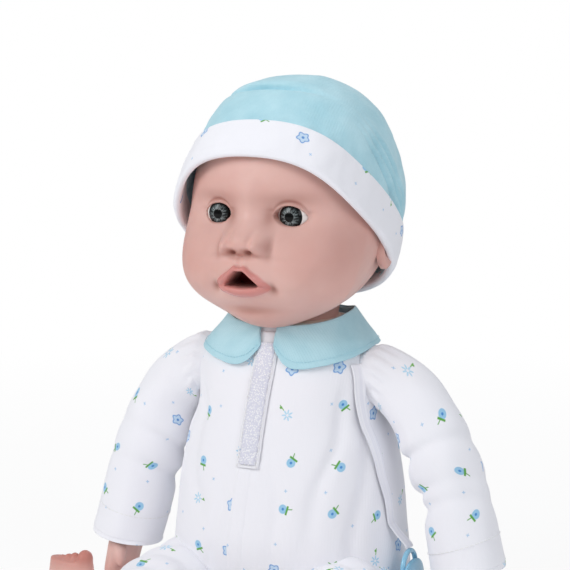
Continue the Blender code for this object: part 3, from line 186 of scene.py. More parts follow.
# ------------------------------------------------------------------ stuffed trunk
# The doll's body is a bag of undyed woven cotton filled with polyester fibre. It is cut in two halves sewn up
# the sides, and a gathered casing at the top is tied round the neck of the vinyl head.

neck_height = 0.188
neck_axis_y = 0.004
half_widths = ((0.0, 0.069), (0.040, 0.073), (0.070, 0.0705), (0.093, 0.0685), (0.121, 0.0635),
               (0.133, 0.0585),
               (0.142, 0.057), (0.158, 0.0565), (0.167, 0.054), (0.175, 0.0475), (0.181, 0.0403), (0.188,
                                                                                                   0.0343))
fronts = ((0.0, 0.046), (0.030, 0.054), (0.060, 0.062), (0.080, 0.059), (0.120, 0.050), (0.145, 0.044),
          (0.165, 0.037), (0.176, 0.0335), (0.188, 0.0298))
backs = ((0.0, 0.044), (0.045, 0.051), (0.090, 0.049), (0.130, 0.047), (0.160, 0.044), (0.178, 0.0405),
         (0.188, 0.0378))


def smooth(stations, place):
    """Smooth value at a place along stations [(place, value), ...] in rising order."""
    xs = [s[0] for s in stations]
    ys = [s[1] for s in stations]
    place = min(max(place, xs[0]), xs[-1])
    k = max(0, min(len(xs) - 2, int(np.searchsorted(xs, place)) - 1))
    before, after = max(k - 1, 0), min(k + 2, len(xs) - 1)
    span = xs[k + 1] - xs[k]
    rise_in = (ys[k + 1] - ys[before]) / (xs[k + 1] - xs[before]) * span
    rise_out = (ys[after] - ys[k]) / (xs[after] - xs[k]) * span
    t = (place - xs[k]) / span
    return ((2 * t**3 - 3 * t**2 + 1) * ys[k] + (t**3 - 2 * t**2 + t) * rise_in
            + (3 * t**2 - 2 * t**3) * ys[k + 1] + (t**3 - t**2) * rise_out)


def on_trunk(height, angle, outset=0.0):
    """Point of the dressed trunk: angle 0 is the front, a quarter turn the doll's left."""
    half_width = smooth(half_widths, height) + outset
    side, ahead = math.sin(angle), math.cos(angle)
    reach = smooth(fronts if ahead > 0 else backs, height) + outset
    x = math.copysign(abs(side) ** (2 / 2.3), side) * half_width
    y = -math.copysign(abs(ahead) ** (2 / 2.3), ahead) * reach
    return Vector((x, y, height))


def skin(name, rows, material, around=True, caps=(False, False), wall=0.0, levels=1, wall_side=-1.0):
    """A smooth skin over rows of points, unwrapped in metres on its cloth, with an optional wall."""
    grid = np.array([[tuple(p) for p in row] for row in rows])
    count, width = grid.shape[:2]
    form = bmesh.new()
    lines = [[form.verts.new(p) for p in row] for row in grid]
    looped = np.concatenate([grid, grid[:, :1]], axis=1) if around else grid
    steps = np.linalg.norm(np.diff(looped, axis=1), axis=2)
    along = np.concatenate([[0.0], np.cumsum(np.linalg.norm(np.diff(grid, axis=0), axis=2).mean(axis=1))])
    across = np.concatenate([np.zeros((count, 1)), np.cumsum(steps, axis=1)], axis=1)
    across -= across[:, across.shape[1] // 2][:, None]
    unwrap = form.loops.layers.uv.new("cloth")
    for i in range(count - 1):
        for j in range(width if around else width - 1):
            right = (j + 1) % width
            face = form.faces.new((lines[i][j], lines[i][right], lines[i + 1][right], lines[i + 1][j]))
            for loop, (r, c) in zip(face.loops, ((i, j), (i, j + 1), (i + 1, j + 1), (i + 1, j))):
                loop[unwrap].uv = (across[r, c], along[r])
    for wanted, row in zip(caps, (lines[0], lines[-1])):
        if wanted:
            middle = form.verts.new(sum((v.co for v in row), Vector()) / len(row))
            for j in range(width):
                form.faces.new((row[j], row[(j + 1) % width], middle))
    bmesh.ops.recalc_face_normals(form, faces=form.faces)
    centre = sum((v.co for v in form.verts), Vector()) / len(form.verts)
    if sum((f.calc_center_median() - centre).dot(f.normal) * f.calc_area() for f in form.faces) < 0:
        bmesh.ops.reverse_faces(form, faces=form.faces)
    mesh = bpy.data.meshes.new(name)
    form.to_mesh(mesh)
    form.free()
    mesh.shade_smooth()
    mesh.materials.append(material)
    piece = bpy.data.objects.new(name, mesh)
    bpy.context.scene.collection.objects.link(piece)
    if wall:
        solidify = piece.modifiers.new("cloth_thickness", "SOLIDIFY")
        solidify.thickness = wall
        solidify.offset = wall_side
    if levels:
        rounding = piece.modifiers.new("rounding", "SUBSURF")
        rounding.levels = levels
        rounding.render_levels = levels
    return piece


def settle(piece):
    """Turn a piece's modifiers into plain mesh."""
    bpy.context.view_layer.update()
    made = bpy.data.meshes.new_from_object(piece.evaluated_get(bpy.context.evaluated_depsgraph_get()))
    made.name = piece.name
    piece.modifiers.clear()
    piece.data = made
    return piece


def copy_of(node, name):
    """A copy of a CAD node's mesh as a new piece, its loose triangles merged."""
    piece = bpy.data.objects.new(name, nodes[node].data.copy())
    bpy.context.scene.collection.objects.link(piece)
    form = bmesh.new()
    form.from_mesh(piece.data)
    bmesh.ops.remove_doubles(form, verts=form.verts, dist=1e-5)
    form.to_mesh(piece.data)
    form.free()
    return piece


def even_skin(piece, voxel, passes):
    """Remesh a piece evenly, relax it and keep the result."""
    remesh = piece.modifiers.new("even_skin", "REMESH")
    remesh.mode = "VOXEL"
    remesh.voxel_size = voxel
    remesh.use_smooth_shade = True
    relax = piece.modifiers.new("relax", "SMOOTH")
    relax.factor = 0.5
    relax.iterations = passes
    settle(piece)


def set_masks(mesh, **masks):
    """Store where a colour or a crease shows, as one value per vertex or one for all."""
    for mask, values in masks.items():
        layer = mesh.attributes.new(mask, "FLOAT", "POINT")
        layer.data.foreach_set("value",
                               np.broadcast_to(np.asarray(values, np.float32), len(mesh.vertices)).copy())


# undyed plain-weave cotton: a visible over-and-under thread
body_cloth, tree, shader = new_material("undyed_cotton_weave", 0.92, Sheen_Weight=0.15)
place = add(tree, "TexCoord").outputs["Object"]
warp = add(tree, "TexWave", place, wave_type="BANDS", bands_direction="X",
           at={"Scale": 330.0, "Distortion": 0.6})
weft = add(tree, "TexWave", place, wave_type="BANDS", bands_direction="Z",
           at={"Scale": 330.0, "Distortion": 0.6})
weave = add(tree, "Math", warp.outputs["Fac"], weft.outputs["Fac"], operation="MULTIPLY")
mottle = add(tree, "TexNoise", place, at={"Scale": 60.0, "Detail": 4.0})
tone = ramp(tree, mottle.outputs[0], (0.3, "#D9BFAE"), (0.7, "#E6D0C2"))
tree.links.new(tone.outputs[0], shader.inputs["Base Color"])
lift = add(tree, "Bump", at={"Strength": 0.25, "Distance": 0.0002, "Height": weave.outputs[0]})
tree.links.new(lift.outputs[0], shader.inputs["Normal"])

casing_radius = 0.0293
trunk_rows = []
trunk_inset = -0.0044
for height in np.linspace(0.0024, neck_height - 0.0035, 46):
    ring = []
    for angle in np.linspace(-math.pi, math.pi, 72, endpoint=False):
        dimple = 0.0006 * noise.noise(on_trunk(height, angle) * 45)
        seam = 0.0007 * math.exp(-((abs(angle) - math.pi / 2) / 0.06) ** 2)
        ring.append(on_trunk(height, angle, trunk_inset - abs(dimple) - seam))
    trunk_rows.append(ring)
for height in (0.1865, 0.1875, 0.1888, 0.1902):
    ring = []
    for angle in np.linspace(-math.pi, math.pi, 72, endpoint=False):
        radius = casing_radius + 0.0006 * math.cos(18 * angle) - (0.0012 if 0.188 < height < 0.192 else 0.0)
        ring.append(Vector((radius * math.sin(angle), neck_axis_y - radius * math.cos(angle), height)))
    trunk_rows.append(ring)
stuffed_trunk = settle(skin("stuffed_trunk", trunk_rows, body_cloth, caps=(True, True)))
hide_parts("torso_body")
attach(stuffed_trunk, "torso")

# ------------------------------------------------------------------ romper
# One garment of white cotton interlock with a sparse print of small blue flowers, cut in a loose A-line front
# and back. It hangs from the collar seam, lies in soft folds from the armholes and is sewn to its two legs.


def flower_print(name, cell, seed):
    """Knitted white cotton printed with scattered small flowers, buds and specks on the cloth's own map."""
    material, tree, shader = new_material(name, 0.86, Sheen_Weight=0.20, Sheen_Roughness=0.5)
    cloth = add(tree, "UVMap", uv_map="cloth").outputs[0]

    def scatter(size, shift, randomness):
        moved = add(tree, "VectorMath", cloth, (shift, shift * 0.7, 0.0), operation="ADD").outputs[0]
        spots = add(tree, "TexVoronoi", moved, voronoi_dimensions="2D",
                    at={"Scale": 1 / size, "Randomness": randomness})
        offset = add(tree, "VectorMath", moved, spots.outputs["Position"], operation="SUBTRACT").outputs[0]
        chance = add(tree, "SeparateColor", spots.outputs["Color"])
        turn = add(tree, "Math", chance.outputs[1], 6.283, operation="MULTIPLY").outputs[0]
        spun = add(tree, "VectorRotate", offset, at={"Angle": turn}, rotation_type="Z_AXIS").outputs[0]
        across = add(tree, "SeparateXYZ", spun)
        distance = add(tree, "VectorMath", offset, operation="LENGTH").outputs["Value"]
        return across.outputs[0], across.outputs[1], distance, chance.outputs[0]

    def within(value, limit, soft=0.00022):
        return add(tree, "MapRange", value, limit - soft, limit + soft, 1.0, 0.0).outputs[0]

    def both(first, second):
        return add(tree, "Math", first, second, operation="MULTIPLY").outputs[0]

    def lobes(angle, count, radius, depth):
        swing = add(tree, "Math", add(tree, "Math", angle, float(count), operation="MULTIPLY").outputs[0],
                    operation="COSINE").outputs[0]
        return add(tree, "Math", swing, radius * depth, radius * (1 - depth),
                   operation="MULTIPLY_ADD").outputs[0]

    def minus(first, second):
        return add(tree, "Math", first, second, operation="SUBTRACT").outputs[0]

    def size_of(value):
        return add(tree, "Math", value, operation="ABSOLUTE").outputs[0]

    def ink(under, mask, code):
        laid = add(tree, "Mix", data_type="RGBA")
        tree.links.new(mask, laid.inputs[0])
        if isinstance(under, bpy.types.NodeSocket):
            tree.links.new(under, laid.inputs[6])
        else:
            laid.inputs[6].default_value = under
        laid.inputs[7].default_value = from_hex(code)
        return laid.outputs[2]

    x, y, distance, chance = scatter(cell, 0.311 + 0.173 * seed, 0.34)
    angle = add(tree, "Math", y, x, operation="ARCTAN2").outputs[0]
    is_ring = within(chance, 0.36, 0.001)
    is_bud = within(minus(1.0, chance), 0.34, 0.001)
    is_daisy = add(tree, "Math", add(tree, "Math", is_ring, is_bud, operation="ADD").outputs[0], 0.5,
                   operation="LESS_THAN").outputs[0]
    # five round petals drawn as an outline, with a dot in the middle
    petals = lobes(angle, 5, 0.0038, 0.14)
    outline = within(size_of(minus(distance, petals)), 0.00042)
    tint_inside = within(minus(distance, petals), 0.0)
    colour = from_hex("#F5F5FA")
    colour = ink(colour, both(tint_inside, is_ring), "#C9DFF4")
    colour = ink(colour, both(outline, is_ring), "#7DAADF")
    colour = ink(colour, both(within(distance, 0.0009), is_ring), "#5F97D6")
    # a pale seven-petalled daisy on a bent green stem
    daisy = lobes(angle, 7, 0.0034, 0.34)
    bloom = both(within(minus(distance, daisy), 0.0), add(tree, "Math", 1.0, within(distance, 0.0008),
                 operation="SUBTRACT").outputs[0])
    bend = add(tree, "Math", y, 0.22, operation="MULTIPLY").outputs[0]
    stem_line = within(size_of(minus(x, bend)), 0.00028)
    upside_down = add(tree, "Math", y, -1.0, operation="MULTIPLY").outputs[0]
    below_bloom = both(within(y, -0.0034), within(upside_down, 0.0074))
    colour = ink(colour, both(both(stem_line, below_bloom), is_daisy), "#6DB04E")
    leaf_across = add(tree, "Math", x, 0.0009, operation="ADD").outputs[0]
    leaf_down = add(tree, "Math", y, 0.0060, operation="ADD").outputs[0]
    leaf = add(tree, "Math", both(leaf_across, leaf_across), both(leaf_down, leaf_down),
               operation="ADD").outputs[0]
    leaf_reach = add(tree, "Math", leaf, operation="SQRT").outputs[0]
    colour = ink(colour, both(within(leaf_reach, 0.0008), is_daisy), "#6DB04E")
    colour = ink(colour, both(bloom, is_daisy), "#BBDDF1")
    # a bud: a pale blue cup over a green calyx and a short stalk
    cup_down = add(tree, "Math", y, -0.0006, operation="ADD").outputs[0]
    cup = add(tree, "Math", both(x, x), both(cup_down, cup_down), operation="ADD").outputs[0]
    cup = add(tree, "Math", cup, operation="SQRT").outputs[0]
    colour = ink(colour, both(within(cup, 0.0027), is_bud), "#9DCDEB")
    colour = ink(colour, both(within(cup, 0.0008), is_bud), "#4C8FD2")
    calyx_down = size_of(add(tree, "Math", y, 0.0021, operation="ADD").outputs[0])
    colour = ink(colour, both(both(within(calyx_down, 0.0006), within(size_of(x), 0.0027)), is_bud),
                 "#5FA844")
    stalk = both(within(y, -0.0020), within(upside_down, 0.0052))
    stalk_line = within(size_of(add(tree, "Math", x,
                                    add(tree, "Math", y, 0.3, operation="MULTIPLY").outputs[0],
                                    operation="ADD").outputs[0]), 0.0003)
    colour = ink(colour, both(both(stalk, stalk_line), is_bud), "#5FA844")
    # specks: tiny crosses between the flowers
    x, y, distance, chance = scatter(cell * 0.83, 0.157 + 0.091 * seed, 0.55)
    arms = add(tree, "Math", size_of(x), size_of(y), operation="MINIMUM").outputs[0]
    cross = both(within(arms, 0.0002), within(distance, 0.0010))
    few = within(chance, 0.55, 0.001)
    colour = ink(colour, both(cross, few), "#9CC6EA")
    tree.links.new(colour, shader.inputs["Base Color"])
    # interlock knit: upright wales, drawn at 0.9 mm so that they show, over a soft uneven surface
    wales = add(tree, "TexWave", cloth, wave_type="BANDS", bands_direction="X",
                at={"Scale": 175.0, "Distortion": 1.0,
                "Detail": 1.0, "Detail Scale": 3.0})
    crumple = add(tree, "TexNoise", cloth, at={"Scale": 90.0, "Detail": 3.0})
    relief = add(tree, "Math", wales.outputs["Fac"], 0.25, crumple.outputs[0], operation="MULTIPLY_ADD")
    lift = add(tree, "Bump", at={"Strength": 0.22, "Distance": 0.0006, "Height": relief.outputs[0]})
    tree.links.new(lift.outputs[0], shader.inputs["Normal"])
    return material


printed_cotton = flower_print("white_printed_cotton_interlock", 0.0295, 0)
cloth_wall = 0.0009

fold_lines = (
    # angle at the top, height at the top, angle at the bottom, height at the bottom, half width, depth
    (0.90, 0.150, 0.45, 0.070, 0.085, 0.0022),
    (1.15, 0.140, 0.85, 0.030, 0.080, 0.0024),
    (-0.90, 0.150, -0.55, 0.080, 0.085, 0.0022),
    (-1.20, 0.140, -0.95, 0.020, 0.080, 0.0026),
    (0.10, 0.110, 0.26, 0.020, 0.060, 0.0015),
    (-0.28, 0.100, -0.36, 0.015, 0.060, 0.0016),
    (2.10, 0.150, 2.45, 0.030, 0.110, 0.0026),
    (-2.10, 0.150, -2.40, 0.030, 0.110, 0.0026),
    (2.85, 0.120, 2.90, 0.020, 0.090, 0.0020),
    (-2.75, 0.110, -2.80, 0.020, 0.090, 0.0018),
)


def hang(angle, height):
    """How far the garment lies in from its full form: soft folds from the armholes, and a slight unevenness."""
    depth = 0.0
    for top_angle, top, bottom_angle, bottom, half_width, deep in fold_lines:
        t = (top - height) / (top - bottom)
        if t < -0.15 or t > 1.25:
            continue
        middle = top_angle + (bottom_angle - top_angle) * t + 0.05 * math.sin(7 * t)
        fade = min(1.0, max(0.0, (t + 0.15) / 0.35)) * min(1.0, max(0.0, (1.25 - t) / 0.4))
        depth += deep * fade * math.exp(-((angle - middle) / half_width) ** 2)
    wander = noise.noise(Vector((math.sin(angle) * 1.7, math.cos(angle) * 1.7, height * 22)))
    return depth + 0.0009 * (0.6 + wander)


romper_rows = []
heights = [neck_height * (1 - (1 - k / 66) ** 1.25) for k in range(67)]
for height in [0.0004] + heights[1:]:
    ring = []
    for angle in np.linspace(-math.pi, math.pi, 180, endpoint=False):
        top = min(1.0, (neck_height - height) / 0.02)
        ring.append(on_trunk(height, angle, 0.0004 - hang(angle, height) * top))
    romper_rows.append(ring)
romper_body = skin("romper_body_cloth", romper_rows, printed_cotton, caps=(True, False), wall=cloth_wall)
settle(romper_body)
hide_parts("romper_body")
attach(romper_body, "torso")

# the front seam below the opening: the two edges turned in and topstitched, a narrow double ridge
seam_rows = []
for height in np.linspace(0.1070, 0.014, 46):
    row = []
    for k, lift_by in enumerate((-0.0004, 0.0008, 0.0002, 0.0009, -0.0004)):
        angle = (k - 2) * 0.0021 / 0.058 - 0.080 - 0.03 * (0.1070 - height) / 0.08
        row.append(on_trunk(height, angle, 0.0004 - hang(angle, height) + lift_by))
    seam_rows.append(row)
front_seam = settle(skin("romper_front_seam", seam_rows, printed_cotton, around=False))
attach(front_seam, "torso")

# ------------------------------------------------------------------ sleeves
# Set-in sleeves of the same print, gathered a little at the armhole and slack at the elbow, where the jersey
# rolls into soft folds. Each ends in a narrow turned hem sewn with white thread.

shoulder_half_width = 0.057
shoulder_height = 0.158
arm_start = shoulder_half_width + 0.0012
arm_out = (0.0, 0.009, 0.018, 0.025, 0.031, 0.037, 0.042, 0.046, 0.0475, 0.050)
arm_drop = (0.0, 0.006, 0.015, 0.026, 0.039, 0.058, 0.078, 0.104, 0.112, 0.138)
arm_tilt = (0.0, 22.0, 42.0, 56.0, 65.0, 72.0, 76.0, 78.0, 80.0, 82.0)


def arm_frame(side, place):
    """Centre and cross directions of an arm from 0, the shoulder, to 9, the fingers."""
    steps = range(10)
    out = smooth(list(zip(steps, arm_out)), place)
    drop = smooth(list(zip(steps, arm_drop)), place)
    tilt = math.radians(smooth(list(zip(steps, arm_tilt)), place))
    if side > 0:
        out += 0.014 * drop / arm_drop[7]
        tilt -= math.radians(6.0) * min(1.0, drop / arm_drop[7] * 2)
    centre = Vector((side * (arm_start + out), -0.014 * (drop / arm_drop[7]) ** 2, shoulder_height - drop))
    return centre, Vector((side * math.sin(tilt), 0.0, math.cos(tilt))), Vector((0.0, 1.0, 0.0))


sleeve_radii = ((-1.2, 0.0165), (0.0, 0.0186), (0.6, 0.0186), (1.3, 0.0190), (2.0, 0.0196), (3.0, 0.0205),
                (4.0, 0.0216), (5.0, 0.0222), (6.0, 0.0216), (7.0, 0.0218), (7.9, 0.0224))
for side, label in ((-1, "right"), (1, "left")):
    rows = []
    for place in np.concatenate([np.linspace(-1.2, 7.8, 118), [7.84, 7.9, 7.9, 7.85, 7.4]]):
        centre, outward, along = arm_frame(side, max(place, 0.0))
        if place < 0:
            centre = centre + Vector((side * 0.008 * place, 0, 0))
        inside = len(rows) > 119
        full = smooth(sleeve_radii, place) - (0.0013 if inside else 0.0)
        ring = []
        for k in range(96):
            turn = 2 * math.pi * k / 96
            inner = max(0.0, -math.cos(turn))
            # the jersey rolls up at the bend, most on the inner side
            elbow = (4.2, 5.3, 5.8) if side > 0 else (4.5, 5.5)
            roll = sum(0.0044 * math.exp(-((place - e - 0.35 * math.sin(turn)) / 0.24) ** 2) for e in elbow)
            roll *= (0.30 + 0.85 * inner) * (1.0 if side > 0 else 0.55)
            gather = 0.0007 * math.exp(-((place - 0.35) / 0.5) ** 2) * math.cos(15 * turn)
            slack = 0.0016 * noise.noise(
                Vector((math.cos(turn) * 1.3, math.sin(turn) * 1.3 + side, place * 0.62)))
            hem = -0.0004 if place > 7.45 else 0.0
            radius = full + (slack - roll + gather) * (0.0 if place > 7.8 else 1.0) + hem
            ring.append(centre + outward * math.cos(turn) * radius + along * math.sin(turn) * radius * 1.02)
        rows.append(ring)
    sleeve = settle(skin("sleeve_cloth_" + label, rows, printed_cotton, wall=0.0))
    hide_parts("sleeve_" + label)
    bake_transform(sleeve)

# ------------------------------------------------------------------ romper legs
# The trouser part: two tubes of the same print, full at the seat and tapered to a hem above the ankle. They are
# sewn into the body at the hip.

hip_spacing = 0.084
hip_setback = -0.004
hip_height = 0.0305
leg_splay = math.radians(14.0)
leg_radii = ((0.0, 0.0297), (0.030, 0.0287), (0.075, 0.0250), (0.116, 0.0195), (0.150, 0.0150))


def leg_point(side, reach, turn, radius):
    """Point of a leg: turn 0 is outwards, a quarter turn up. The underside lies on the seat's plane."""
    ahead = Vector((side * math.sin(leg_splay), -math.cos(leg_splay), 0.0))
    across = Vector((math.cos(leg_splay), side * math.sin(leg_splay), 0.0)) * side
    height = hip_height if reach <= 0 else smooth(leg_radii, reach) + 0.0008
    base = Vector((side * hip_spacing / 2, hip_setback, height)) + ahead * reach
    return base + across * math.cos(turn) * radius + Vector((0, 0, 1)) * math.sin(turn) * radius


for side, label in ((-1, "right"), (1, "left")):
    rows = []
    reaches = np.concatenate([np.linspace(-0.024, 0.1145, 84), [0.1158, 0.1160, 0.1156, 0.110]])
    for index, reach in enumerate(reaches):
        full = smooth(leg_radii, reach)
        if reach < 0:
            full = math.sqrt(0.0297**2 - reach**2)
        if index > 85:
            full -= 0.0013
        ring = []
        for k in range(96):
            turn = 2 * math.pi * k / 96
            knee = 0.0022 * sum(math.exp(-((reach - r - 0.004 * math.sin(2 * turn)) / 0.0045) ** 2)
                                for r in (0.046, 0.062, 0.079))
            knee *= 0.35 + 0.65 * max(0.0, math.sin(turn))
            hip_fold = 0.0022 * math.exp(-((reach - 0.026 - 0.006 * math.cos(turn)) / 0.005) ** 2)
            slack = 0.0013 * noise.noise(
                Vector((math.cos(turn) * 1.4, math.sin(turn) * 1.4 + 3 * side, reach * 32)))
            radius = full + (min(0.0, slack) - knee - hip_fold) * (1.0 if index < 84 else 0.0)
            ring.append(leg_point(side, reach, turn, radius))
        rows.append(ring)
    romper_leg = settle(skin("romper_leg_cloth_" + label, rows, printed_cotton, caps=(True, False)))
    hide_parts("romper_leg_" + label)
    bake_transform(romper_leg)

# hems and armholes: white polyester thread in a plain topstitch, run round each tube by one node tree
thread, tree, shader = new_material("white_polyester_thread", 0.45, Sheen_Weight=0.2)
twist = add(tree, "TexWave", add(tree, "TexCoord").outputs["Object"], wave_type="BANDS",
            bands_direction="DIAGONAL",
            at={"Scale": 700.0})
pale = add(tree, "MapRange", twist.outputs["Fac"], 0.0, 1.0, 0.78, 0.95)
tree.links.new(pale.outputs[0], shader.inputs["Base Color"])


def stitch_tree():
    """Short rounded stitches set end to end along a line, with a gap between each two."""
    tree = bpy.data.node_groups.new("run_of_stitches", "GeometryNodeTree")
    tree.interface.new_socket("Line", in_out="INPUT", socket_type="NodeSocketGeometry")
    for socket, value in (("Stitch length", 0.0022), ("Thread radius", 0.00022), ("Pitch", 0.0031)):
        tree.interface.new_socket(socket, in_out="INPUT", socket_type="NodeSocketFloat").default_value = value
    tree.interface.new_socket("Thread", in_out="INPUT", socket_type="NodeSocketMaterial")
    tree.interface.new_socket("Stitches", in_out="OUTPUT", socket_type="NodeSocketGeometry")
    new = tree.nodes.new
    link = tree.links.new
    source = new("NodeGroupInput")
    to_curve = new("GeometryNodeMeshToCurve")
    link(source.outputs["Line"], to_curve.inputs[0])
    resample = new("GeometryNodeResampleCurve")
    resample.mode = "LENGTH"
    link(to_curve.outputs[0], resample.inputs["Curve"])
    link(source.outputs["Pitch"], resample.inputs["Length"])
    bead = new("GeometryNodeMeshCylinder")
    bead.inputs["Vertices"].default_value = 5
    link(source.outputs["Thread radius"], bead.inputs["Radius"])
    link(source.outputs["Stitch length"], bead.inputs["Depth"])
    tangent = new("GeometryNodeInputTangent")
    align = new("FunctionNodeAlignRotationToVector")
    align.axis = "Z"
    link(tangent.outputs[0], align.inputs["Vector"])
    place = new("GeometryNodeInstanceOnPoints")
    link(resample.outputs[0], place.inputs["Points"])
    link(bead.outputs["Mesh"], place.inputs["Instance"])
    link(align.outputs[0], place.inputs["Rotation"])
    real = new("GeometryNodeRealizeInstances")
    link(place.outputs[0], real.inputs[0])
    finish = new("GeometryNodeSetMaterial")
    link(real.outputs[0], finish.inputs[0])
    link(source.outputs["Thread"], finish.inputs["Material"])
    sink = new("NodeGroupOutput")
    link(finish.outputs[0], sink.inputs[0])
    return tree


run_of_stitches = stitch_tree()


def stitch(name, lines, material, closed=False, **sizes):
    """One piece of stitching along lines of points."""
    mesh = bpy.data.meshes.new(name)
    points, edges = [], []
    for line in lines:
        start = len(points)
        points += [tuple(p) for p in line]
        edges += [(start + k, start + k + 1) for k in range(len(line) - 1)]
        if closed:
            edges.append((start + len(line) - 1, start))
    mesh.from_pydata(points, edges, [])
    piece = bpy.data.objects.new(name, mesh)
    bpy.context.scene.collection.objects.link(piece)
    sewing = piece.modifiers.new("sewing", "NODES")
    sewing.node_group = run_of_stitches
    named = {i.name: i.identifier for i in run_of_stitches.interface.items_tree if i.in_out == "INPUT"}
    sewing[named["Thread"]] = material
    for socket, value in sizes.items():
        sewing[named[socket.replace("_", " ")]] = value
    return settle(piece)


for side, label in ((-1, "right"), (1, "left")):
    hems = []
    for place in (6.55,):
        centre, outward, along = arm_frame(side, place)
        radius = smooth(sleeve_radii, place) + 0.0003
        hems.append([centre + outward * math.cos(t) * radius + along * math.sin(t) * radius * 1.02
                     for t in np.linspace(0, 2 * math.pi, 90, endpoint=False)])
    sleeve_hem = stitch("sleeve_hem_stitches_" + label, hems, thread, closed=True)
    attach(sleeve_hem, "arm_" + label)
    hems = [[leg_point(side, 0.1085, t, smooth(leg_radii, 0.1085) + 0.0002)
             for t in np.linspace(0, 2 * math.pi, 90, endpoint=False)]]
    leg_hem = stitch("leg_hem_stitches_" + label, hems, thread, closed=True)
    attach(leg_hem, "leg_" + label)

# ------------------------------------------------------------------ collar
# A flat round collar of light blue jersey in two halves, each two layers bagged out and topstitched 3 mm in from
# the edge. It is sewn into the neck seam and its front corners are full rounded lobes.


def jersey(name, light, deep, scale=1.0):
    """Dyed cotton jersey: fine upright wales and a faint unevenness of the dye."""
    material, tree, shader = new_material(name, 0.90, Sheen_Weight=0.22, Sheen_Roughness=0.5)
    cloth = add(tree, "UVMap", uv_map="cloth").outputs[0]
    cloud = add(tree, "TexNoise", cloth, at={"Scale": 38.0, "Detail": 5.0, "Roughness": 0.6})
    dye = ramp(tree, cloud.outputs[0], (0.34, deep), (0.62, light))
    tree.links.new(dye.outputs[0], shader.inputs["Base Color"])
    # wales are 0.6 mm apart on the cloth and drawn at 0.85 mm so that they show
    wales = add(tree, "TexWave", cloth, wave_type="BANDS", bands_direction="X",
                at={"Scale": 185.0 * scale, "Distortion": 1.4, "Detail": 2.0, "Detail Scale": 2.0})
    fuzz = add(tree, "TexNoise", cloth, at={"Scale": 900.0, "Detail": 2.0})
    relief = add(tree, "Math", wales.outputs["Fac"], 0.6, fuzz.outputs[0], operation="MULTIPLY_ADD")
    lift = add(tree, "Bump", at={"Strength": 0.28, "Distance": 0.0004, "Height": relief.outputs[0]})
    tree.links.new(lift.outputs[0], shader.inputs["Normal"])
    return material


blue_jersey = jersey("light_blue_cotton_jersey", "#BCE3ED", "#A9D7E3")
blue_thread = thread.copy()
blue_thread.name = "light_blue_polyester_thread"
blue_ramp = [n for n in blue_thread.node_tree.nodes if n.type == "MAP_RANGE"][0]
blue_mix = blue_thread.node_tree.nodes.new("ShaderNodeMix")
blue_mix.data_type = "RGBA"
blue_mix.inputs[6].default_value = from_hex("#8CC3D3")
blue_mix.inputs[7].default_value = from_hex("#A9DBE8")
blue_thread.node_tree.links.new(blue_ramp.outputs[0], blue_mix.inputs[0])
blue_thread.node_tree.links.new(blue_mix.outputs[2],
                                blue_thread.node_tree.nodes["Principled BSDF"].inputs["Base Color"])

collar_width = 0.020


def down_from_neck(angle, distance, outset):
    """Walk down the trunk from the neck edge as a tape measure would."""
    height = neck_height - 0.0015
    point = on_trunk(height, angle, outset)
    gone = 0.0
    while gone < distance:
        height -= 0.0004
        following = on_trunk(height, angle, outset)
        gone += (following - point).length
        point = following
    return point


def collar_point(side, t, share, lift_by):
    """Point of a collar half: t runs from its front corner to the back, share from the neck to the edge."""
    front_gap, back_gap = math.radians(6.0), math.radians(0.35)
    angle = front_gap + (math.pi - front_gap - back_gap) * t
    corner = min(1.0, 0.10 + t / 0.150)
    width = collar_width * (1 + 0.36 * max(0.0, math.cos(angle))) * math.sqrt(max(0.0, 1 - (1 - corner) ** 2))
    spread = angle - 0.13 * share * math.exp(-((t - 0.10) / 0.10) ** 2)
    point = down_from_neck(side * spread, width * share, 0.0011)
    # the collar springs a little off the shoulders between the neck seam and its edge
    spring = 0.0011 * math.sin(math.pi * min(1.0, share * 1.15)) + 0.0005 * share * math.sin(9 * angle + side)
    outward = Vector((point.x, point.y - neck_axis_y, 0.02)).normalized()
    # it stands up round the sides and the back of the neck before it turns over
    stand = 0.0085 * (0.5 - 0.5 * math.cos(min(math.pi, 1.35 * angle))) * max(0.0, 1 - share / 0.55) ** 1.5
    stand *= 1 - 0.5 * min(1.0, max(0.0, (angle - 1.9) / 0.7))
    return point + outward * (spring + lift_by - 0.30 * stand) + Vector((0, 0,
                                                                         0.0010 + 0.5 * lift_by + stand))


for side, label in ((-1, "right"), (1, "left")):
    for layer, lift_by, grow in (("upper", 0.0010, 1.0), ("under", 0.0000, 0.93)):
        rows = []
        for share in np.concatenate([np.linspace(0.0, 0.9, 9), [0.96, 1.0]]):
            ts = np.concatenate([np.linspace(0, 0.16, 22) ** 1.0, np.linspace(0.17, 1.0, 44)])
            rows.append([collar_point(side, t, share * grow, lift_by) for t in ts])
        collar = skin(f"collar_{layer}_{label}", rows, blue_jersey, around=False, wall=0.0009, wall_side=1.0)
        if layer == "upper":
            edge_line = [collar_point(side, t, 0.87, lift_by + 0.0011) for t in np.linspace(0.012, 0.99, 120)]
            collar_stitches = stitch("collar_topstitch_" + label, [edge_line], blue_thread,
                                     Stitch_length=0.0017,
                                     Thread_radius=0.00017, Pitch=0.0024)
            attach(collar_stitches, "torso")
        settle(collar)
        if layer == "upper":
            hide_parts("collar_" + label)
        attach(collar, "torso")

# ------------------------------------------------------------------ placket
# The romper opens down the chest. A white facing strip runs from the collar to mid-chest, closed by hook-and-loop
# tape whose loops catch the light; a box of white stitching holds it at the bottom.

placket_top, placket_bottom = 0.1845, 0.1065
placket_width = 0.0150


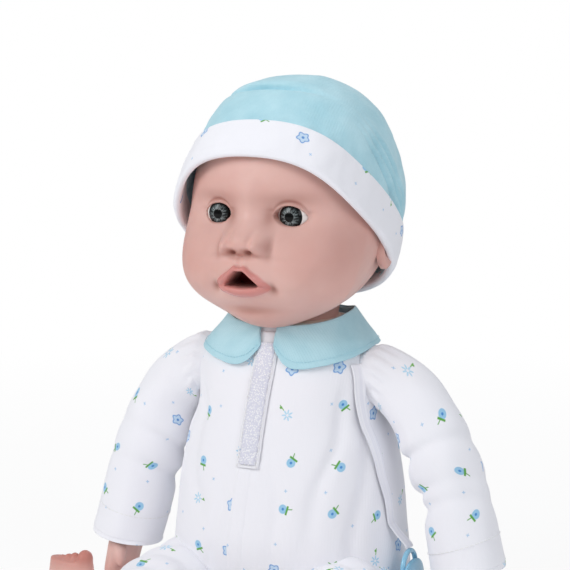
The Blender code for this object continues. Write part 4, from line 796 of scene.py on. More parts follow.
def on_chest(height, across, outset):
    """Point of the chest a little to one side of the opening, which wanders to the doll's right as it falls."""
    across -= 0.0046 * (placket_top - height) / (placket_top - placket_bottom)
    half_width = smooth(half_widths, height) + outset
    reach = smooth(fronts, height) + outset
    drawn_in = (1 - abs(across / half_width) ** 2.3) ** (1 / 2.3)
    return Vector((across, -reach * drawn_in, height))


rows = []
for height in np.linspace(placket_top, placket_bottom, 40):
    unevenness = 0.00025 * math.sin(height * 900)
    edge = placket_width / 2
    rows.append([on_chest(height, a, o + unevenness) for a, o in (
        (-edge, 0.0004), (-edge * 0.93, 0.0013), (-edge * 0.5, 0.0014), (0, 0.0014), (edge * 0.5, 0.0014),
        (edge * 0.93, 0.0013), (edge, 0.0004))])
placket = settle(skin("placket_strip", rows, printed_cotton, around=False, wall=0.0004))
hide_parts("front_placket")
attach(placket, "torso")

# nylon loop tape: a felted bed of fine loops with threads standing out of it, coloured with a painted highlight on
# the loop tops and painted shade between them
loop_tape, tree, shader = new_material("white_nylon_loop_tape", 0.55, Sheen_Weight=0.4, Sheen_Roughness=0.4)
place = add(tree, "TexCoord").outputs["Object"]
loops = add(tree, "TexVoronoi", place, at={"Scale": 900.0})
loop_light_and_shade = ramp(tree, loops.outputs["Distance"], (0.10, "#FFFFFF"), (0.55, "#DCDDEA"))
tree.links.new(loop_light_and_shade.outputs[0], shader.inputs["Base Color"])
lift = add(tree, "Bump", at={"Strength": 0.8, "Distance": 0.0004, "Height": loops.outputs["Distance"]})
tree.links.new(lift.outputs[0], shader.inputs["Normal"])

rows = []
for height in np.linspace(placket_top - 0.006, placket_bottom + 0.002, 40):
    edge = 0.0056
    rows.append([on_chest(height, a, o) for a, o in (
        (-edge, 0.0013), (-edge * 0.94, 0.0022), (0, 0.0024), (edge * 0.94, 0.0022), (edge, 0.0013))])
tape = settle(skin("hook_and_loop_tape", rows, loop_tape, around=False, wall=0.0003))
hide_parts("hook_tape")
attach(tape, "torso")

box_lines = []
for across in (-0.0062, 0.0062):
    box_lines.append([on_chest(h, across, 0.0016)
                      for h in np.linspace(placket_top - 0.004, placket_bottom + 0.0012, 60)])
box_lines.append([on_chest(placket_bottom + 0.0012, a, 0.0016) for a in np.linspace(-0.0062, 0.0062, 12)])
placket_stitches = stitch("placket_stitches", box_lines, thread, Stitch_length=0.0016, Thread_radius=0.00017,
                          Pitch=0.0023)
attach(placket_stitches, "torso")

# ------------------------------------------------------------------ ribbon
# White satin ribbon, 8 mm wide with woven edges. One end is caught under the collar, and it falls down the left
# of the chest in front of the arm; the other end meets the top of the pacifier's ring.

# polyester satin: long glossy floats that run down the ribbon
satin, tree, shader = new_material("white_polyester_satin", 0.30, Anisotropic=0.6, Sheen_Weight=0.15)
weave = add(tree, "UVMap", uv_map="cloth").outputs[0]
floats = add(tree, "TexWave", weave, wave_type="BANDS", bands_direction="Y",
             at={"Scale": 420.0, "Distortion": 2.0})
streak = add(tree, "TexNoise",
             add(tree, "VectorMath", weave, (600.0, 14.0, 1.0), operation="MULTIPLY").outputs[0],
             at={"Scale": 1.0, "Detail": 3.0})
pearl = ramp(tree, streak.outputs[0], (0.3, "#E9E9F2"), (0.7, "#FAFAFD"))
tree.links.new(pearl.outputs[0], shader.inputs["Base Color"])
lift = add(tree, "Bump", at={"Strength": 0.15, "Distance": 0.0001, "Height": floats.outputs["Fac"]})
tree.links.new(lift.outputs[0], shader.inputs["Normal"])

ribbon_width = 0.008
pacifier_x, pacifier_y, pacifier_top = 0.0815, -0.0125, 0.058
ribbon_route = ((0.1665, 62.5), (0.163, 63.0), (0.155, 64.0), (0.145, 66.0), (0.134, 68.0), (0.122, 70.0),
                (0.108, 73.0),
                (0.094, 76.0), (0.082, 79.0), (0.073, 80.0))
course = []
for height in np.linspace(0.1665, 0.073, 60):
    degrees = smooth(sorted(ribbon_route), height)
    low = on_trunk(height, math.radians(degrees - 4.0), 0.0013)
    high = on_trunk(height, math.radians(degrees + 4.0), 0.0013)
    course.append(((low + high) / 2, (high - low).normalized()))
last_point, last_across = course[-1]
ribbon_end = Vector((pacifier_x, pacifier_y, pacifier_top + 0.0004))
for share in np.linspace(0.04, 1.0, 22):
    ease = share * share * (3 - 2 * share)
    point = last_point.lerp(ribbon_end, share)
    point.x = last_point.x + (ribbon_end.x - last_point.x) * (0.35 * share + 0.65 * ease)
    course.append((point, last_across))
rows = []
for index, (point, across) in enumerate(course):
    facing = across.cross(Vector((0, 0, 1))).normalized()
    ripple = 0.0003 * math.sin(index * 0.42) * min(1.0, index / 8)
    row = []
    for share, edge in ((-1.0, -0.0001), (-0.9, 0.0002), (-0.5, 0.0), (0.0, 0.0001), (0.5, 0.0),
                        (0.9, 0.0002),
                        (1.0, -0.0001)):
        row.append(point + across * share * ribbon_width / 2 + facing * (edge + ripple))
    rows.append(row)
satin_ribbon = settle(skin("satin_ribbon", rows, satin, around=False, wall=0.0003))
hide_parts("ribbon")
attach(satin_ribbon, "torso")

# ------------------------------------------------------------------ pacifier
# A toy pacifier injection-moulded in glossy light blue plastic: a butterfly shield with two small air holes, a
# grip ring moulded to its back and a soft clear-white teat pushed through from the front.

# glossy styrene: clean colour, a tight highlight and very faint moulding flow
blue_styrene, tree, shader = new_material("light_blue_moulded_styrene", 0.16, Coat_Weight=0.4,
                                          Coat_Roughness=0.08)
flow = add(tree, "TexNoise", add(tree, "TexCoord").outputs["Object"], at={"Scale": 55.0, "Detail": 2.0})
hue = ramp(tree, flow.outputs[0], (0.35, "#8CC6E2"), (0.65, "#9DD2EA"))
tree.links.new(hue.outputs[0], shader.inputs["Base Color"])
# silicone: milky, slightly translucent
silicone, tree, shader = new_material("milky_silicone", 0.28, Subsurface_Weight=0.4, Subsurface_Scale=0.003)
cloud = add(tree, "TexNoise", add(tree, "TexCoord").outputs["Object"], at={"Scale": 120.0})
milk = add(tree, "ValToRGB", cloud.outputs[0])
milk.color_ramp.elements[0].color = from_hex("#EDE7DC")
milk.color_ramp.elements[1].color = from_hex("#F6F2EA")
tree.links.new(milk.outputs[0], shader.inputs["Base Color"])

ring_radius, ring_thickness = 0.0100, 0.0030
ring_height = pacifier_top - ring_radius - ring_thickness / 2
rows = []
for k in range(96):
    around = 2 * math.pi * k / 96
    outward = Vector((0.0, math.cos(around), math.sin(around)))
    centre = Vector((pacifier_x, pacifier_y, ring_height)) + outward * ring_radius
    rows.append([centre + outward * math.cos(t) * ring_thickness / 2
                 + Vector((1, 0, 0)) * math.sin(t) * ring_thickness / 2
                 for t in np.linspace(0, 2 * math.pi, 20, endpoint=False)])
rows.append(rows[0])
grip_ring = skin("pacifier_grip_ring", rows, blue_styrene, levels=0)
welded = bmesh.new()
welded.from_mesh(grip_ring.data)
bmesh.ops.remove_doubles(welded, verts=welded.verts, dist=1e-6)
bmesh.ops.recalc_face_normals(welded, faces=welded.faces)
welded.to_mesh(grip_ring.data)
welded.free()
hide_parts("pacifier_ring")
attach(grip_ring, "pacifier")

shield_radius, shield_thickness = 0.0165, 0.0030
shield_x = pacifier_x + ring_thickness / 2 + 0.0003 + shield_thickness / 2
shield_centre = Vector((shield_x, pacifier_y, ring_height - shield_radius * 0.5))
rows = []
for k in range(49):
    t = math.pi * k / 48
    ring = []
    for j in range(96):
        around = 2 * math.pi * j / 96
        reach = math.sin(t) ** 0.62
        waist = 1.0 - 0.18 * abs(math.sin(around)) * reach
        flat = math.copysign(abs(math.cos(t)) ** 0.55, math.cos(t)) * shield_thickness / 2
        dish = -0.0007 * reach**2
        ring.append(shield_centre + Vector((flat + dish, math.cos(around) * shield_radius * reach * 0.985,
                                            math.sin(around) * shield_radius * reach * waist)))
    rows.append(ring)
shield = skin("pacifier_butterfly_shield", rows[1:-1], blue_styrene, caps=(True, True), levels=0)
for sign in (-1, 1):
    drill = bpy.data.meshes.new("air_hole")
    round_form = bmesh.new()
    bmesh.ops.create_cone(round_form, cap_ends=True, segments=24, radius1=0.0018, radius2=0.0018, depth=0.02,
                          matrix=Matrix.Translation(shield_centre + Vector((0, sign * 0.0105, -0.001)))
                          @ Matrix.Rotation(math.pi / 2, 4, "Y"))
    round_form.to_mesh(drill)
    round_form.free()
    drill_bit = bpy.data.objects.new("air_hole", drill)
    bpy.context.scene.collection.objects.link(drill_bit)
    hole = shield.modifiers.new("air_hole", "BOOLEAN")
    hole.operation = "DIFFERENCE"
    hole.solver = "EXACT"
    hole.object = drill_bit
    settle(shield)
    bpy.data.objects.remove(drill_bit, do_unlink=True)
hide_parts("pacifier_shield")
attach(shield, "pacifier")

teat_start = shield_centre.x + shield_thickness / 2 + 0.0001
rows = []
for share, size in ((0.0, 1.0), (0.05, 0.96), (0.10, 0.80), (0.16, 0.72), (0.30, 0.70), (0.45, 0.84),
                    (0.60, 0.99),
                    (0.72, 1.0), (0.84, 0.90), (0.92, 0.70), (0.97, 0.44), (1.0, 0.12)):
    place = Vector((teat_start + 0.010 * share, shield_centre.y, shield_centre.z))
    rows.append([place + Vector((0, math.cos(t), math.sin(t))) * 0.0050 * size
                 for t in np.linspace(0, 2 * math.pi, 24, endpoint=False)])
teat = settle(skin("pacifier_teat_bulb", rows, silicone, caps=(True, True)))
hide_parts("pacifier_teat")
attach(teat, "pacifier")

# ------------------------------------------------------------------ stuffed upper arms and thighs
# The limbs are filled cotton tubes down to the elbow and the knee, hidden in the sleeves and trouser legs. Each
# swells between its seams and is drawn in where a nylon tie holds the vinyl limb below it.

for name, body in (("upper_arm_right", "arm_right"), ("upper_arm_left", "arm_left"),
                   ("thigh_right", "leg_right"),
                   ("thigh_left", "leg_left")):
    filled = copy_of(name, "stuffed_" + name)
    even_skin(filled, voxel=0.0018, passes=6)
    form = bmesh.new()
    form.from_mesh(filled.data)
    form.normal_update()
    shifts = [v.normal * (-0.0003 + 0.0004 * min(0.0, noise.noise(v.co * 140))) for v in form.verts]
    for vertex, shift in zip(form.verts, shifts):
        vertex.co += shift
    form.to_mesh(filled.data)
    form.free()
    filled.data.materials.clear()
    filled.data.materials.append(body_cloth)
    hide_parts(name)
    side = -1 if name.endswith("right") else 1
    if name.startswith("upper_arm"):
        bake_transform(filled)
    else:
        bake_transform(filled)

# ------------------------------------------------------------------ vinyl hands and feet
# Forearms and lower legs are rotation-moulded vinyl, skin-coloured through, with dimpled knuckles and a blush
# airbrushed on fingertips, toes, palms and soles. Each slips into its cloth tube and is tied there.


def vinyl(name, masked):
    """Matt skin-coloured vinyl, coloured where the mesh's own masks put it: airbrushed blush and lips, and painted
    shade.
    """
    material, tree, shader = new_material(name, 0.46, Subsurface_Weight=0.10, Subsurface_Scale=0.004,
                                          Specular_IOR_Level=0.35)
    shader.inputs["Subsurface Radius"].default_value = (1.0, 0.35, 0.2)
    place = add(tree, "TexCoord").outputs["Object"]
    cloud = add(tree, "TexNoise", place, at={"Scale": 30.0, "Detail": 4.0, "Roughness": 0.55})
    tone = ramp(tree, cloud.outputs[0], (0.32, "#DFB2A8"), (0.66, "#E8C0B6"))
    colour = tone.outputs[0]
    for mask, code, strength in masked:
        amount = add(tree, "Math", add(tree, "Attribute", attribute_name=mask).outputs["Fac"], strength,
                     operation="MULTIPLY", use_clamp=True).outputs[0]
        laid = add(tree, "Mix", data_type="RGBA")
        tree.links.new(amount, laid.inputs[0])
        tree.links.new(colour, laid.inputs[6])
        laid.inputs[7].default_value = from_hex(code)
        colour = laid.outputs[2]
    tree.links.new(colour, shader.inputs["Base Color"])
    pores = add(tree, "TexNoise", place, at={"Scale": 1500.0, "Detail": 2.0})
    lift = add(tree, "Bump", at={"Strength": 0.08, "Distance": 0.0002, "Height": pores.outputs[0]})
    tree.links.new(lift.outputs[0], shader.inputs["Normal"])
    return material, tree, shader


# the blush colour is airbrushed; the crease colour is painted shade in the wrist and ankle creases and the knuckle
# dimples
limb_vinyl, tree, shader = vinyl("rotomoulded_skin_vinyl_limbs", (
    ("blush", "#C07467", 0.85), ("crease", "#9C5546", 0.6)))

for side, label in ((-1, "right"), (1, "left")):
    for name, body, voxel in (("forearm_", "arm_", 0.00075), ("lower_leg_", "leg_", 0.00085)):
        limb = copy_of(name + label, "vinyl_" + name + label)
        even_skin(limb, voxel, passes=7)
        mesh = limb.data
        points = np.empty(len(mesh.vertices) * 3)
        mesh.vertices.foreach_get("co", points)
        points = points.reshape(-1, 3)
        low, high = points.min(axis=0), points.max(axis=0)
        normals = np.empty(len(mesh.vertices) * 3)
        mesh.vertices.foreach_get("normal", normals)
        normals = normals.reshape(-1, 3)
        blush = np.zeros(len(points))
        crease = np.zeros(len(points))
        if name == "forearm_":
            blush = np.clip((low[2] + 0.034 - points[:, 2]) / 0.022, 0, 1) * 0.8
            wrist = low[2] + 0.047
            crease = np.exp(-((points[:, 2] - wrist - 0.0015 * np.sin(points[:, 1] * 300)) / 0.0011) ** 2)
            knuckle_height = low[2] + 0.017
            knuckles = np.exp(-((points[:, 2] - knuckle_height) / 0.0016) ** 2)
            knuckles = knuckles * np.clip(side * normals[:, 0], 0, 1)
            points -= normals * (0.0010 * crease + 0.0005 * knuckles)[:, None]
            # the crease mask darkens the wrist crease and the knuckle dimples with painted shade
            crease = np.maximum(crease * 0.8, knuckles * 0.5)
        else:
            toes = np.clip((points[:, 2] - high[2] + 0.016) / 0.012, 0, 1)
            heel = np.exp(-((points[:, 2] - low[2]) / 0.010) ** 2)
            blush = np.maximum(toes, 0.8 * heel)
            ankle = low[1] + 0.034
            crease = np.exp(-((points[:, 1] - ankle) / 0.0012) ** 2) * (points[:, 2] > 0.018)
            points -= normals * (0.0008 * crease)[:, None]
            # the crease mask darkens the ankle crease with painted shade
            crease = crease * 0.7
        mesh.vertices.foreach_set("co", points.ravel())
        set_masks(mesh, blush=blush, crease=crease)
        mesh.materials.clear()
        mesh.materials.append(limb_vinyl)
        mesh.update()
        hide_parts(name + label)
        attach(limb, body + label)

# ------------------------------------------------------------------ head
# One hollow rotation-moulded vinyl head, modelled full in the cheeks with a small chin, soft eyelids and an open
# mouth for the pacifier. The lips and cheeks are airbrushed; the lips get a coat of gloss.

head_centre = Vector((0.0, neck_axis_y, 0.259))
head_half = (0.060, 0.064, 0.070)
eye_spacing, eye_radius, eye_depth, eye_drop = 0.045, 0.0110, 0.0470, 0.0035
brushes = (
    # across, up, spread across, spread up, push along the normal, push forward
    (0.038, -0.026, 0.017, 0.016, 0.0060, 0.0),
    (0.037, -0.047, 0.018, 0.013, 0.0076, 0.0),
    (0.0, -0.0600, 0.0150, 0.0085, 0.0078, 0.0020),
    (0.0, 0.028, 0.028, 0.018, 0.0012, 0.0),
    (eye_spacing / 2, -eye_drop, 0.0105, 0.0080, 0.0, -0.0066),
    (eye_spacing / 2, 0.0125, 0.0130, 0.0050, 0.0014, 0.0),
    (0.0, 0.001, 0.0048, 0.0090, 0.0, 0.0024),
    (0.0, -0.0160, 0.0072, 0.0058, 0.0, 0.0102),
    (0.0102, -0.0188, 0.0034, 0.0034, 0.0, 0.0068),
    (0.0, -0.0385, 0.0108, 0.0084, 0.0, 0.0036),
    (0.0, -0.0520, 0.0095, 0.0020, 0.0, -0.0048),
)
mouth = (0.0, -0.0402)


def bump(x, z, across, up, spread_across, spread_up):
    return np.exp(-0.5 * (((x - across) / spread_across) ** 2 + ((z - up) / spread_up) ** 2))


def step(value, soft):
    """0 below zero, 1 above, smooth over a width of soft on both sides."""
    t = np.clip(value / soft * 0.5 + 0.5, 0, 1)
    return t * t * (3 - 2 * t)


sides, rings = 360, 260
aim = Vector((0, 0, 1)).rotation_difference(Vector((0, -1, -0.36))).to_matrix()
from_pole = math.pi * np.linspace(0, 1, rings) ** 1.55
around = np.linspace(0, 2 * math.pi, sides, endpoint=False)
p, a = np.meshgrid(from_pole, around, indexing="ij")
directions = np.stack([np.sin(p) * np.cos(a), np.sin(p) * np.sin(a), np.cos(p)], axis=-1) @ np.array(aim).T
half = np.array(head_half)
base = directions / np.sqrt(((directions / half) ** 2).sum(axis=-1))[..., None]
outward = base / half**2
outward /= np.linalg.norm(outward, axis=-1)[..., None]
bx, by, bz = base[..., 0], base[..., 1], base[..., 2]
facing = np.clip(-by / 0.022, 0, 1)
skin_points = base.copy()
# the lower face stands forward of the brow, as far as the lips, and carries the jowls with it
jaw_forward = 0.0165
drop = np.clip(-bz / 0.040, 0, 1)
skin_points[..., 1] -= jaw_forward * drop**2 * (3 - 2 * drop) * np.clip(-by / 0.045, 0, 1) ** 0.7
for across, up, spread_across, spread_up, push, forward in brushes:
    for sign in ((1,) if across == 0 else (1, -1)):
        weight = facing * bump(bx, bz, sign * across, up, spread_across, spread_up)
        skin_points += outward * (push * weight)[..., None]
        skin_points[..., 1] -= forward * weight

# under the hat the skull is kept slimmer than in the CAD, so that the hat's folds don't cut into it
hat_axis, slimmed_above, slimming = np.array([0.0, 0.6691, 0.7431]), 0.018, 0.0028
under_hat = step(skin_points @ hat_axis - slimmed_above, 0.016)
skin_points -= outward * (slimming * under_hat)[..., None]

# nostrils, the fold beside each nostril, the groove under the nose and the crease below the lip
for sign in (-1, 1):
    skin_points[..., 1] += 0.0042 * facing * bump(bx, bz, sign * 0.0048, -0.0226, 0.0018, 0.0010)
    skin_points[..., 1] += 0.0026 * facing * bump(bx, bz, sign * 0.0152, -0.0190, 0.0017, 0.0038)
    skin_points[..., 1] += 0.0018 * facing * bump(bx, bz, sign * 0.0062, -0.0165, 0.0012, 0.0034)
    skin_points[..., 1] += 0.0014 * facing * bump(bx, bz, sign * 0.0180, -0.0400, 0.0028, 0.0060)
    skin_points[..., 1] -= 0.0004 * facing * bump(bx, bz, sign * 0.0028, -0.0275, 0.0010, 0.0025)
skin_points[..., 1] += 0.0008 * facing * bump(bx, bz, 0.0, -0.0275, 0.0014, 0.0030)
skin_points[..., 1] += 0.0026 * facing * bump(bx, bz, 0.0, -0.0252, 0.0085, 0.0013)

# eyelids: the skin is carried over each eyeball, and falls in behind it within an almond-shaped opening
lid_edge_shade = np.zeros_like(bx)
lid_fold_shade = np.zeros_like(bx)
for sign in (-1, 1):
    ex, ez = sign * eye_spacing / 2, -eye_drop
    sx, sz = skin_points[..., 0] - ex, skin_points[..., 2] - ez
    over = np.clip((eye_radius + 0.0009) ** 2 - sx**2 - sz**2, 0, None)
    dome = -(eye_depth + np.sqrt(over)) * (over > 0) + 1.0 * (over <= 0)
    blend_width = 0.0016
    y_now = skin_points[..., 1]
    mixing = np.clip(0.5 + 0.5 * (y_now - dome) / blend_width, 0, 1)
    lidded = y_now * (1 - mixing) + dome * mixing - blend_width * mixing * (1 - mixing)
    y_lid = np.where((over > 0) & (facing > 0.5), lidded, y_now)
    # almond: the upper lid arches higher than the lower, the outer corner sits a little lower
    u = (sx * sign - 0.0006) / 0.0094
    tilt = 0.0006 * u
    top = 0.0055 * np.clip(1 - np.abs(u) ** 2.2, 0, None) ** 0.8
    bottom = -0.0051 * np.clip(1 - np.abs(u) ** 2.6, 0, None) ** 0.8
    inside = np.minimum(top + tilt * -1 - sz, sz - bottom + tilt)
    inside = np.where(np.abs(u) < 1, inside, -0.004)
    opening = step(inside, 0.0006) * (facing > 0.5)
    # a line of painted shade round the edge of the opening
    lid_edge_shade = np.maximum(lid_edge_shade, np.exp(-(inside / 0.0010) ** 2) * (facing > 0.5) * (np.abs(u) < 1.1))
    # the fold above the upper lid, raised a little and darkened with painted shade
    fold = np.exp(-((sz - top - 0.0030 - tilt * -1) / 0.0009) ** 2) * np.exp(-(u / 1.15) ** 4) * (sz > 0)
    y_lid = y_lid + 0.0008 * fold * (facing > 0.5)
    lid_fold_shade = np.maximum(lid_fold_shade, 0.6 * fold * (facing > 0.5))
    behind = -(eye_depth + 0.0035)
    skin_points[..., 1] = y_lid * (1 - opening) + np.maximum(behind, y_lid) * opening

# lips: a tented upper lip with two peaks, a full lower lip, and an opening that falls back into the mouth
mx, mz = bx - mouth[0], bz - mouth[1]
lip_u = np.abs(mx) / 0.0155
upper_line = (0.0104 * np.clip(1 - lip_u, 0, None) ** 0.55
              + 0.0011 * np.exp(-((np.abs(mx) - 0.0038) / 0.0022) ** 2))
upper_line -= 0.0008 * np.exp(-((mx / 0.0016) ** 2))
lower_line = -0.0066 * np.clip(1 - lip_u**2.0, 0, None) ** 0.62
open_u = np.clip((np.abs(mx) - 0.0026) / (0.0096 - 0.0026), 0, 1)
open_top = 0.0072 * (1 - open_u) ** 0.8 - 0.0004
open_bottom = -0.0012 * np.clip(1 - (mx / 0.0096) ** 2, 0, None) - 0.0003
to_lip = np.where(lip_u < 1, np.minimum(upper_line - mz, mz - lower_line), -0.004)
to_mouth = np.where(np.abs(mx) < 0.0096, np.minimum(open_top - mz, mz - open_bottom), -0.002)
lips = step(to_lip, 0.0009) * (facing > 0.5)
hollow = step(to_mouth, 0.0006) * (facing > 0.5)
swell = lips * (1 - hollow)
above = mz > 0.5 * (open_top + open_bottom)
lip_ridge = np.where(above, np.exp(-(((mz - (open_top + upper_line) / 2) / 0.0019) ** 2)),
                     np.exp(-(((mz - (open_bottom + lower_line) / 2) / 0.0027) ** 2)))
fullness = np.where(above, 0.0022, 0.0034)
skin_points[..., 1] -= swell * (0.0006 + fullness * lip_ridge * np.clip(1 - lip_u**3, 0, 1))
skin_points[..., 1] += hollow * 0.0150
corner = sum(bump(bx, bz, s * 0.0160, mouth[1] - 0.0008, 0.0014, 0.0018) for s in (-1, 1)) * facing
skin_points[..., 1] += 0.0020 * corner

# airbrushed blush on the cheeks, chin, brow and nose tip, and the same colour as painted shade at the sides of the
# face;
# painted shade in the hollows round the eyes and nostrils
blush = facing * np.clip(sum(bump(bx, bz, s * 0.036, -0.026, 0.016, 0.014) for s in (-1, 1)) * 0.8
                         + bump(bx, bz, 0, -0.062, 0.014, 0.008) * 0.6 + bump(bx, bz, 0, -0.017, 0.007,
                                                                              0.006) * 0.45
                         + sum(bump(bx, bz, s * 0.026, 0.012, 0.016, 0.006) for s in (-1, 1)) * 0.45
                         + sum(bump(bx, bz, s * 0.050, 0.0, 0.010, 0.030) for s in (-1, 1)) * 0.4, 0, 1)
# the blush colour deepens toward the back of the head and under the jaw as painted shade
blush = np.clip(blush + 0.55 * np.clip((by + 0.02) / 0.03, 0, 1) + 0.5 * np.clip((-0.045 - bz) / 0.02, 0, 1),
                0, 1)
# painted shade in the hollows round the eyes and nostrils, under the nose and the lower lip, at the mouth's
# corners, along the lid edges and in the folds above the lids
painted_shade = facing * np.clip(sum(bump(bx, bz, s * (eye_spacing / 2), 0.0060, 0.0120,
                                    0.0030) for s in (-1, 1)) * 0.45
                           + sum(bump(bx, bz, s * 0.0115, -eye_drop, 0.0026, 0.0040) for s in (-1, 1)) * 0.7
                           + sum(bump(bx, bz, s * 0.0048, -0.0226, 0.0022, 0.0012) for s in (-1, 1)) * 1.0
                           + sum(bump(bx, bz, s * 0.0150, -0.0200, 0.0014, 0.0036) for s in (-1, 1)) * 0.5
                           + bump(bx, bz, 0.0, -0.0246, 0.0100, 0.0011) * 0.55
                           + bump(bx, bz, 0.0, -0.0532, 0.0085, 0.0014) * 0.6 + corner * 0.9, 0, 1)
painted_shade = np.clip(painted_shade + 0.55 * lid_edge_shade + lid_fold_shade, 0, 1)
lip_colour = lips * (1 - hollow)

form = bmesh.new()
lines = [[form.verts.new(Vector(q) + head_centre) for q in ring] for ring in skin_points[1:-1]]
poles = [form.verts.new(Vector(skin_points[k, 0]) + head_centre) for k in (0, -1)]
for near, far in zip(lines, lines[1:]):
    for j in range(sides):
        form.faces.new((near[j], near[(j + 1) % sides], far[(j + 1) % sides], far[j]))
for pole, line in zip(poles, (lines[0], lines[-1])):
    for j in range(sides):
        form.faces.new((line[j], line[(j + 1) % sides], pole))
bmesh.ops.recalc_face_normals(form, faces=form.faces)
if form.calc_volume(signed=True) < 0:
    bmesh.ops.reverse_faces(form, faces=form.faces)
head_mesh = bpy.data.meshes.new("moulded_vinyl_head")
form.to_mesh(head_mesh)
form.free()
head_mesh.shade_smooth()
for mask, values in (("blush", blush), ("crease", painted_shade), ("lips", lip_colour), ("inside", hollow)):
    layer = head_mesh.attributes.new(mask, "FLOAT", "POINT")
    flat = np.concatenate([values[1:-1].ravel(), [values[0, 0], values[-1, 0]]]).astype(np.float32)
    layer.data.foreach_set("value", flat)
# the blush colour is airbrushed blush and, at the sides, the back and under the jaw, painted shade; the crease
# colour is painted shade in the hollows; the inside colour is painted shade in the mouth's cavity
head_vinyl, tree, shader = vinyl("rotomoulded_skin_vinyl_head", (
    ("blush", "#D09488", 0.50), ("crease", "#93503F", 0.75), ("lips", "#D2807A", 0.75), ("inside", "#52090A",
                                                                                         1.0)))
gloss = add(tree, "Attribute", attribute_name="lips")
varnish = add(tree, "MapRange", gloss.outputs["Fac"], 0.0, 1.0, 0.46, 0.16)
tree.links.new(varnish.outputs[0], shader.inputs["Roughness"])
head_mesh.materials.append(head_vinyl)
moulded_head = bpy.data.objects.new("moulded_vinyl_head", head_mesh)
bpy.context.scene.collection.objects.link(moulded_head)
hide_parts("head_shell")
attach(moulded_head, "head")

# the ears: a moulded rim, an inner hollow and a soft lobe, half covered by the hat
for side, label in ((-1, "right"), (1, "left")):
    rows = []
    for k in range(25):
        t = k / 24
        ring = []
        for j in range(64):
            turn = 2 * math.pi * j / 64
            lobe = 1.0 - 0.20 * max(0.0, -math.sin(turn)) ** 2
            reach = math.sin(t * math.pi / 2) ** 0.7
            stand = 0.0052 * math.cos(t * math.pi / 2) ** 0.5
            bowl = 0.0034 * math.exp(-((reach) / 0.45) ** 2) - 0.0010 * math.exp(-((reach - 0.80) / 0.14) ** 2)
            y = 0.002 - 0.0095 * lobe * reach * math.cos(turn) - 0.0016 * math.sin(turn) * reach
            z = -0.025 + 0.0142 * reach * math.sin(turn)
            x = 0.0548 + stand - bowl * (1.0 - 0.3 * max(0.0, -math.sin(turn)))
            ring.append(head_centre + Vector((side * x, y, z)))
        rows.append(ring)
    ear = skin("vinyl_ear_" + label, rows[1:], head_vinyl, caps=(True, False), levels=1)
    # the whole ear is tinted with the blush colour and a little painted shade
    set_masks(ear.data, blush=0.55, crease=0.12, lips=0.0, inside=0.0)
    settle(ear)
    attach(ear, "head")

# the neck: a plain stub moulded with the head, with the groove that the casing's tie pulls into
rows = []
for height, radius in ((0.1722, 0.0215), (0.1722, 0.0250), (0.1730, 0.0258), (0.1800, 0.0258),
                       (0.1872, 0.0256),
                       (0.1900, 0.0260), (0.1950, 0.0266), (0.1985, 0.0278), (0.2040, 0.0335)):
    rows.append([Vector((radius * math.sin(t), neck_axis_y - radius * math.cos(t), height))
                 for t in np.linspace(0, 2 * math.pi, 72, endpoint=False)])
neck_stub = skin("vinyl_neck_stub", rows, head_vinyl, caps=(True, True), levels=1)
# the whole stub is tinted darker with the blush colour and a little painted shade, as under the chin
set_masks(neck_stub.data, blush=0.8, crease=0.15, lips=0.0, inside=0.0)
settle(neck_stub)
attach(neck_stub, "head")

# ------------------------------------------------------------------ eyes
# Fixed acrylic eyes: a white ball with a printed grey iris under a clear dome, pushed into the sockets from
# inside the head. Dark rim, pale flecks round the pupil, and a hard wet highlight.

acrylic, tree, shader = new_material("clear_cast_acrylic_eye", 0.07, IOR=1.49, Specular_IOR_Level=0.22)
disc = add(tree, "UVMap", uv_map="iris")
polar = add(tree, "SeparateXYZ", disc.outputs[0])
distance = polar.outputs[1]
fleck_place = add(tree, "CombineXYZ",
                  add(tree, "Math", polar.outputs[0], 34.0, operation="MULTIPLY").outputs[0],
                  add(tree, "Math", distance, 2.4, operation="MULTIPLY").outputs[0], 0.0)
flecks = add(tree, "TexNoise", fleck_place.outputs[0], at={"Scale": 1.0, "Detail": 4.0, "Roughness": 0.7})
rays = ramp(tree, flecks.outputs[0], (0.44, "#171A1B"), (0.68, "#C2CCCC"))
depth = add(tree, "ValToRGB", distance)
stops = depth.color_ramp
stops.elements[0].position, stops.elements[0].color = 0.355, from_hex("#000000")
stops.elements[1].position, stops.elements[1].color = 0.42, from_hex("#FFFFFF")
for position, code in ((0.62, "#B4B9BA"), (0.82, "#2A2D2E"), (0.92, "#060606")):
    stop = stops.elements.new(position)
    stop.color = from_hex(code)
iris = add(tree, "Mix", data_type="RGBA", blend_type="MULTIPLY")
iris.inputs[0].default_value = 1.0
tree.links.new(rays.outputs[0], iris.inputs[6])
tree.links.new(depth.outputs[0], iris.inputs[7])
rim = add(tree, "MapRange", distance, 0.985, 1.03, 0.0, 1.0)
white_of_eye = add(tree, "Mix", data_type="RGBA")
tree.links.new(rim.outputs[0], white_of_eye.inputs[0])
tree.links.new(iris.outputs[2], white_of_eye.inputs[6])
white_of_eye.inputs[7].default_value = from_hex("#EFE7E3")
tree.links.new(white_of_eye.outputs[2], shader.inputs["Base Color"])

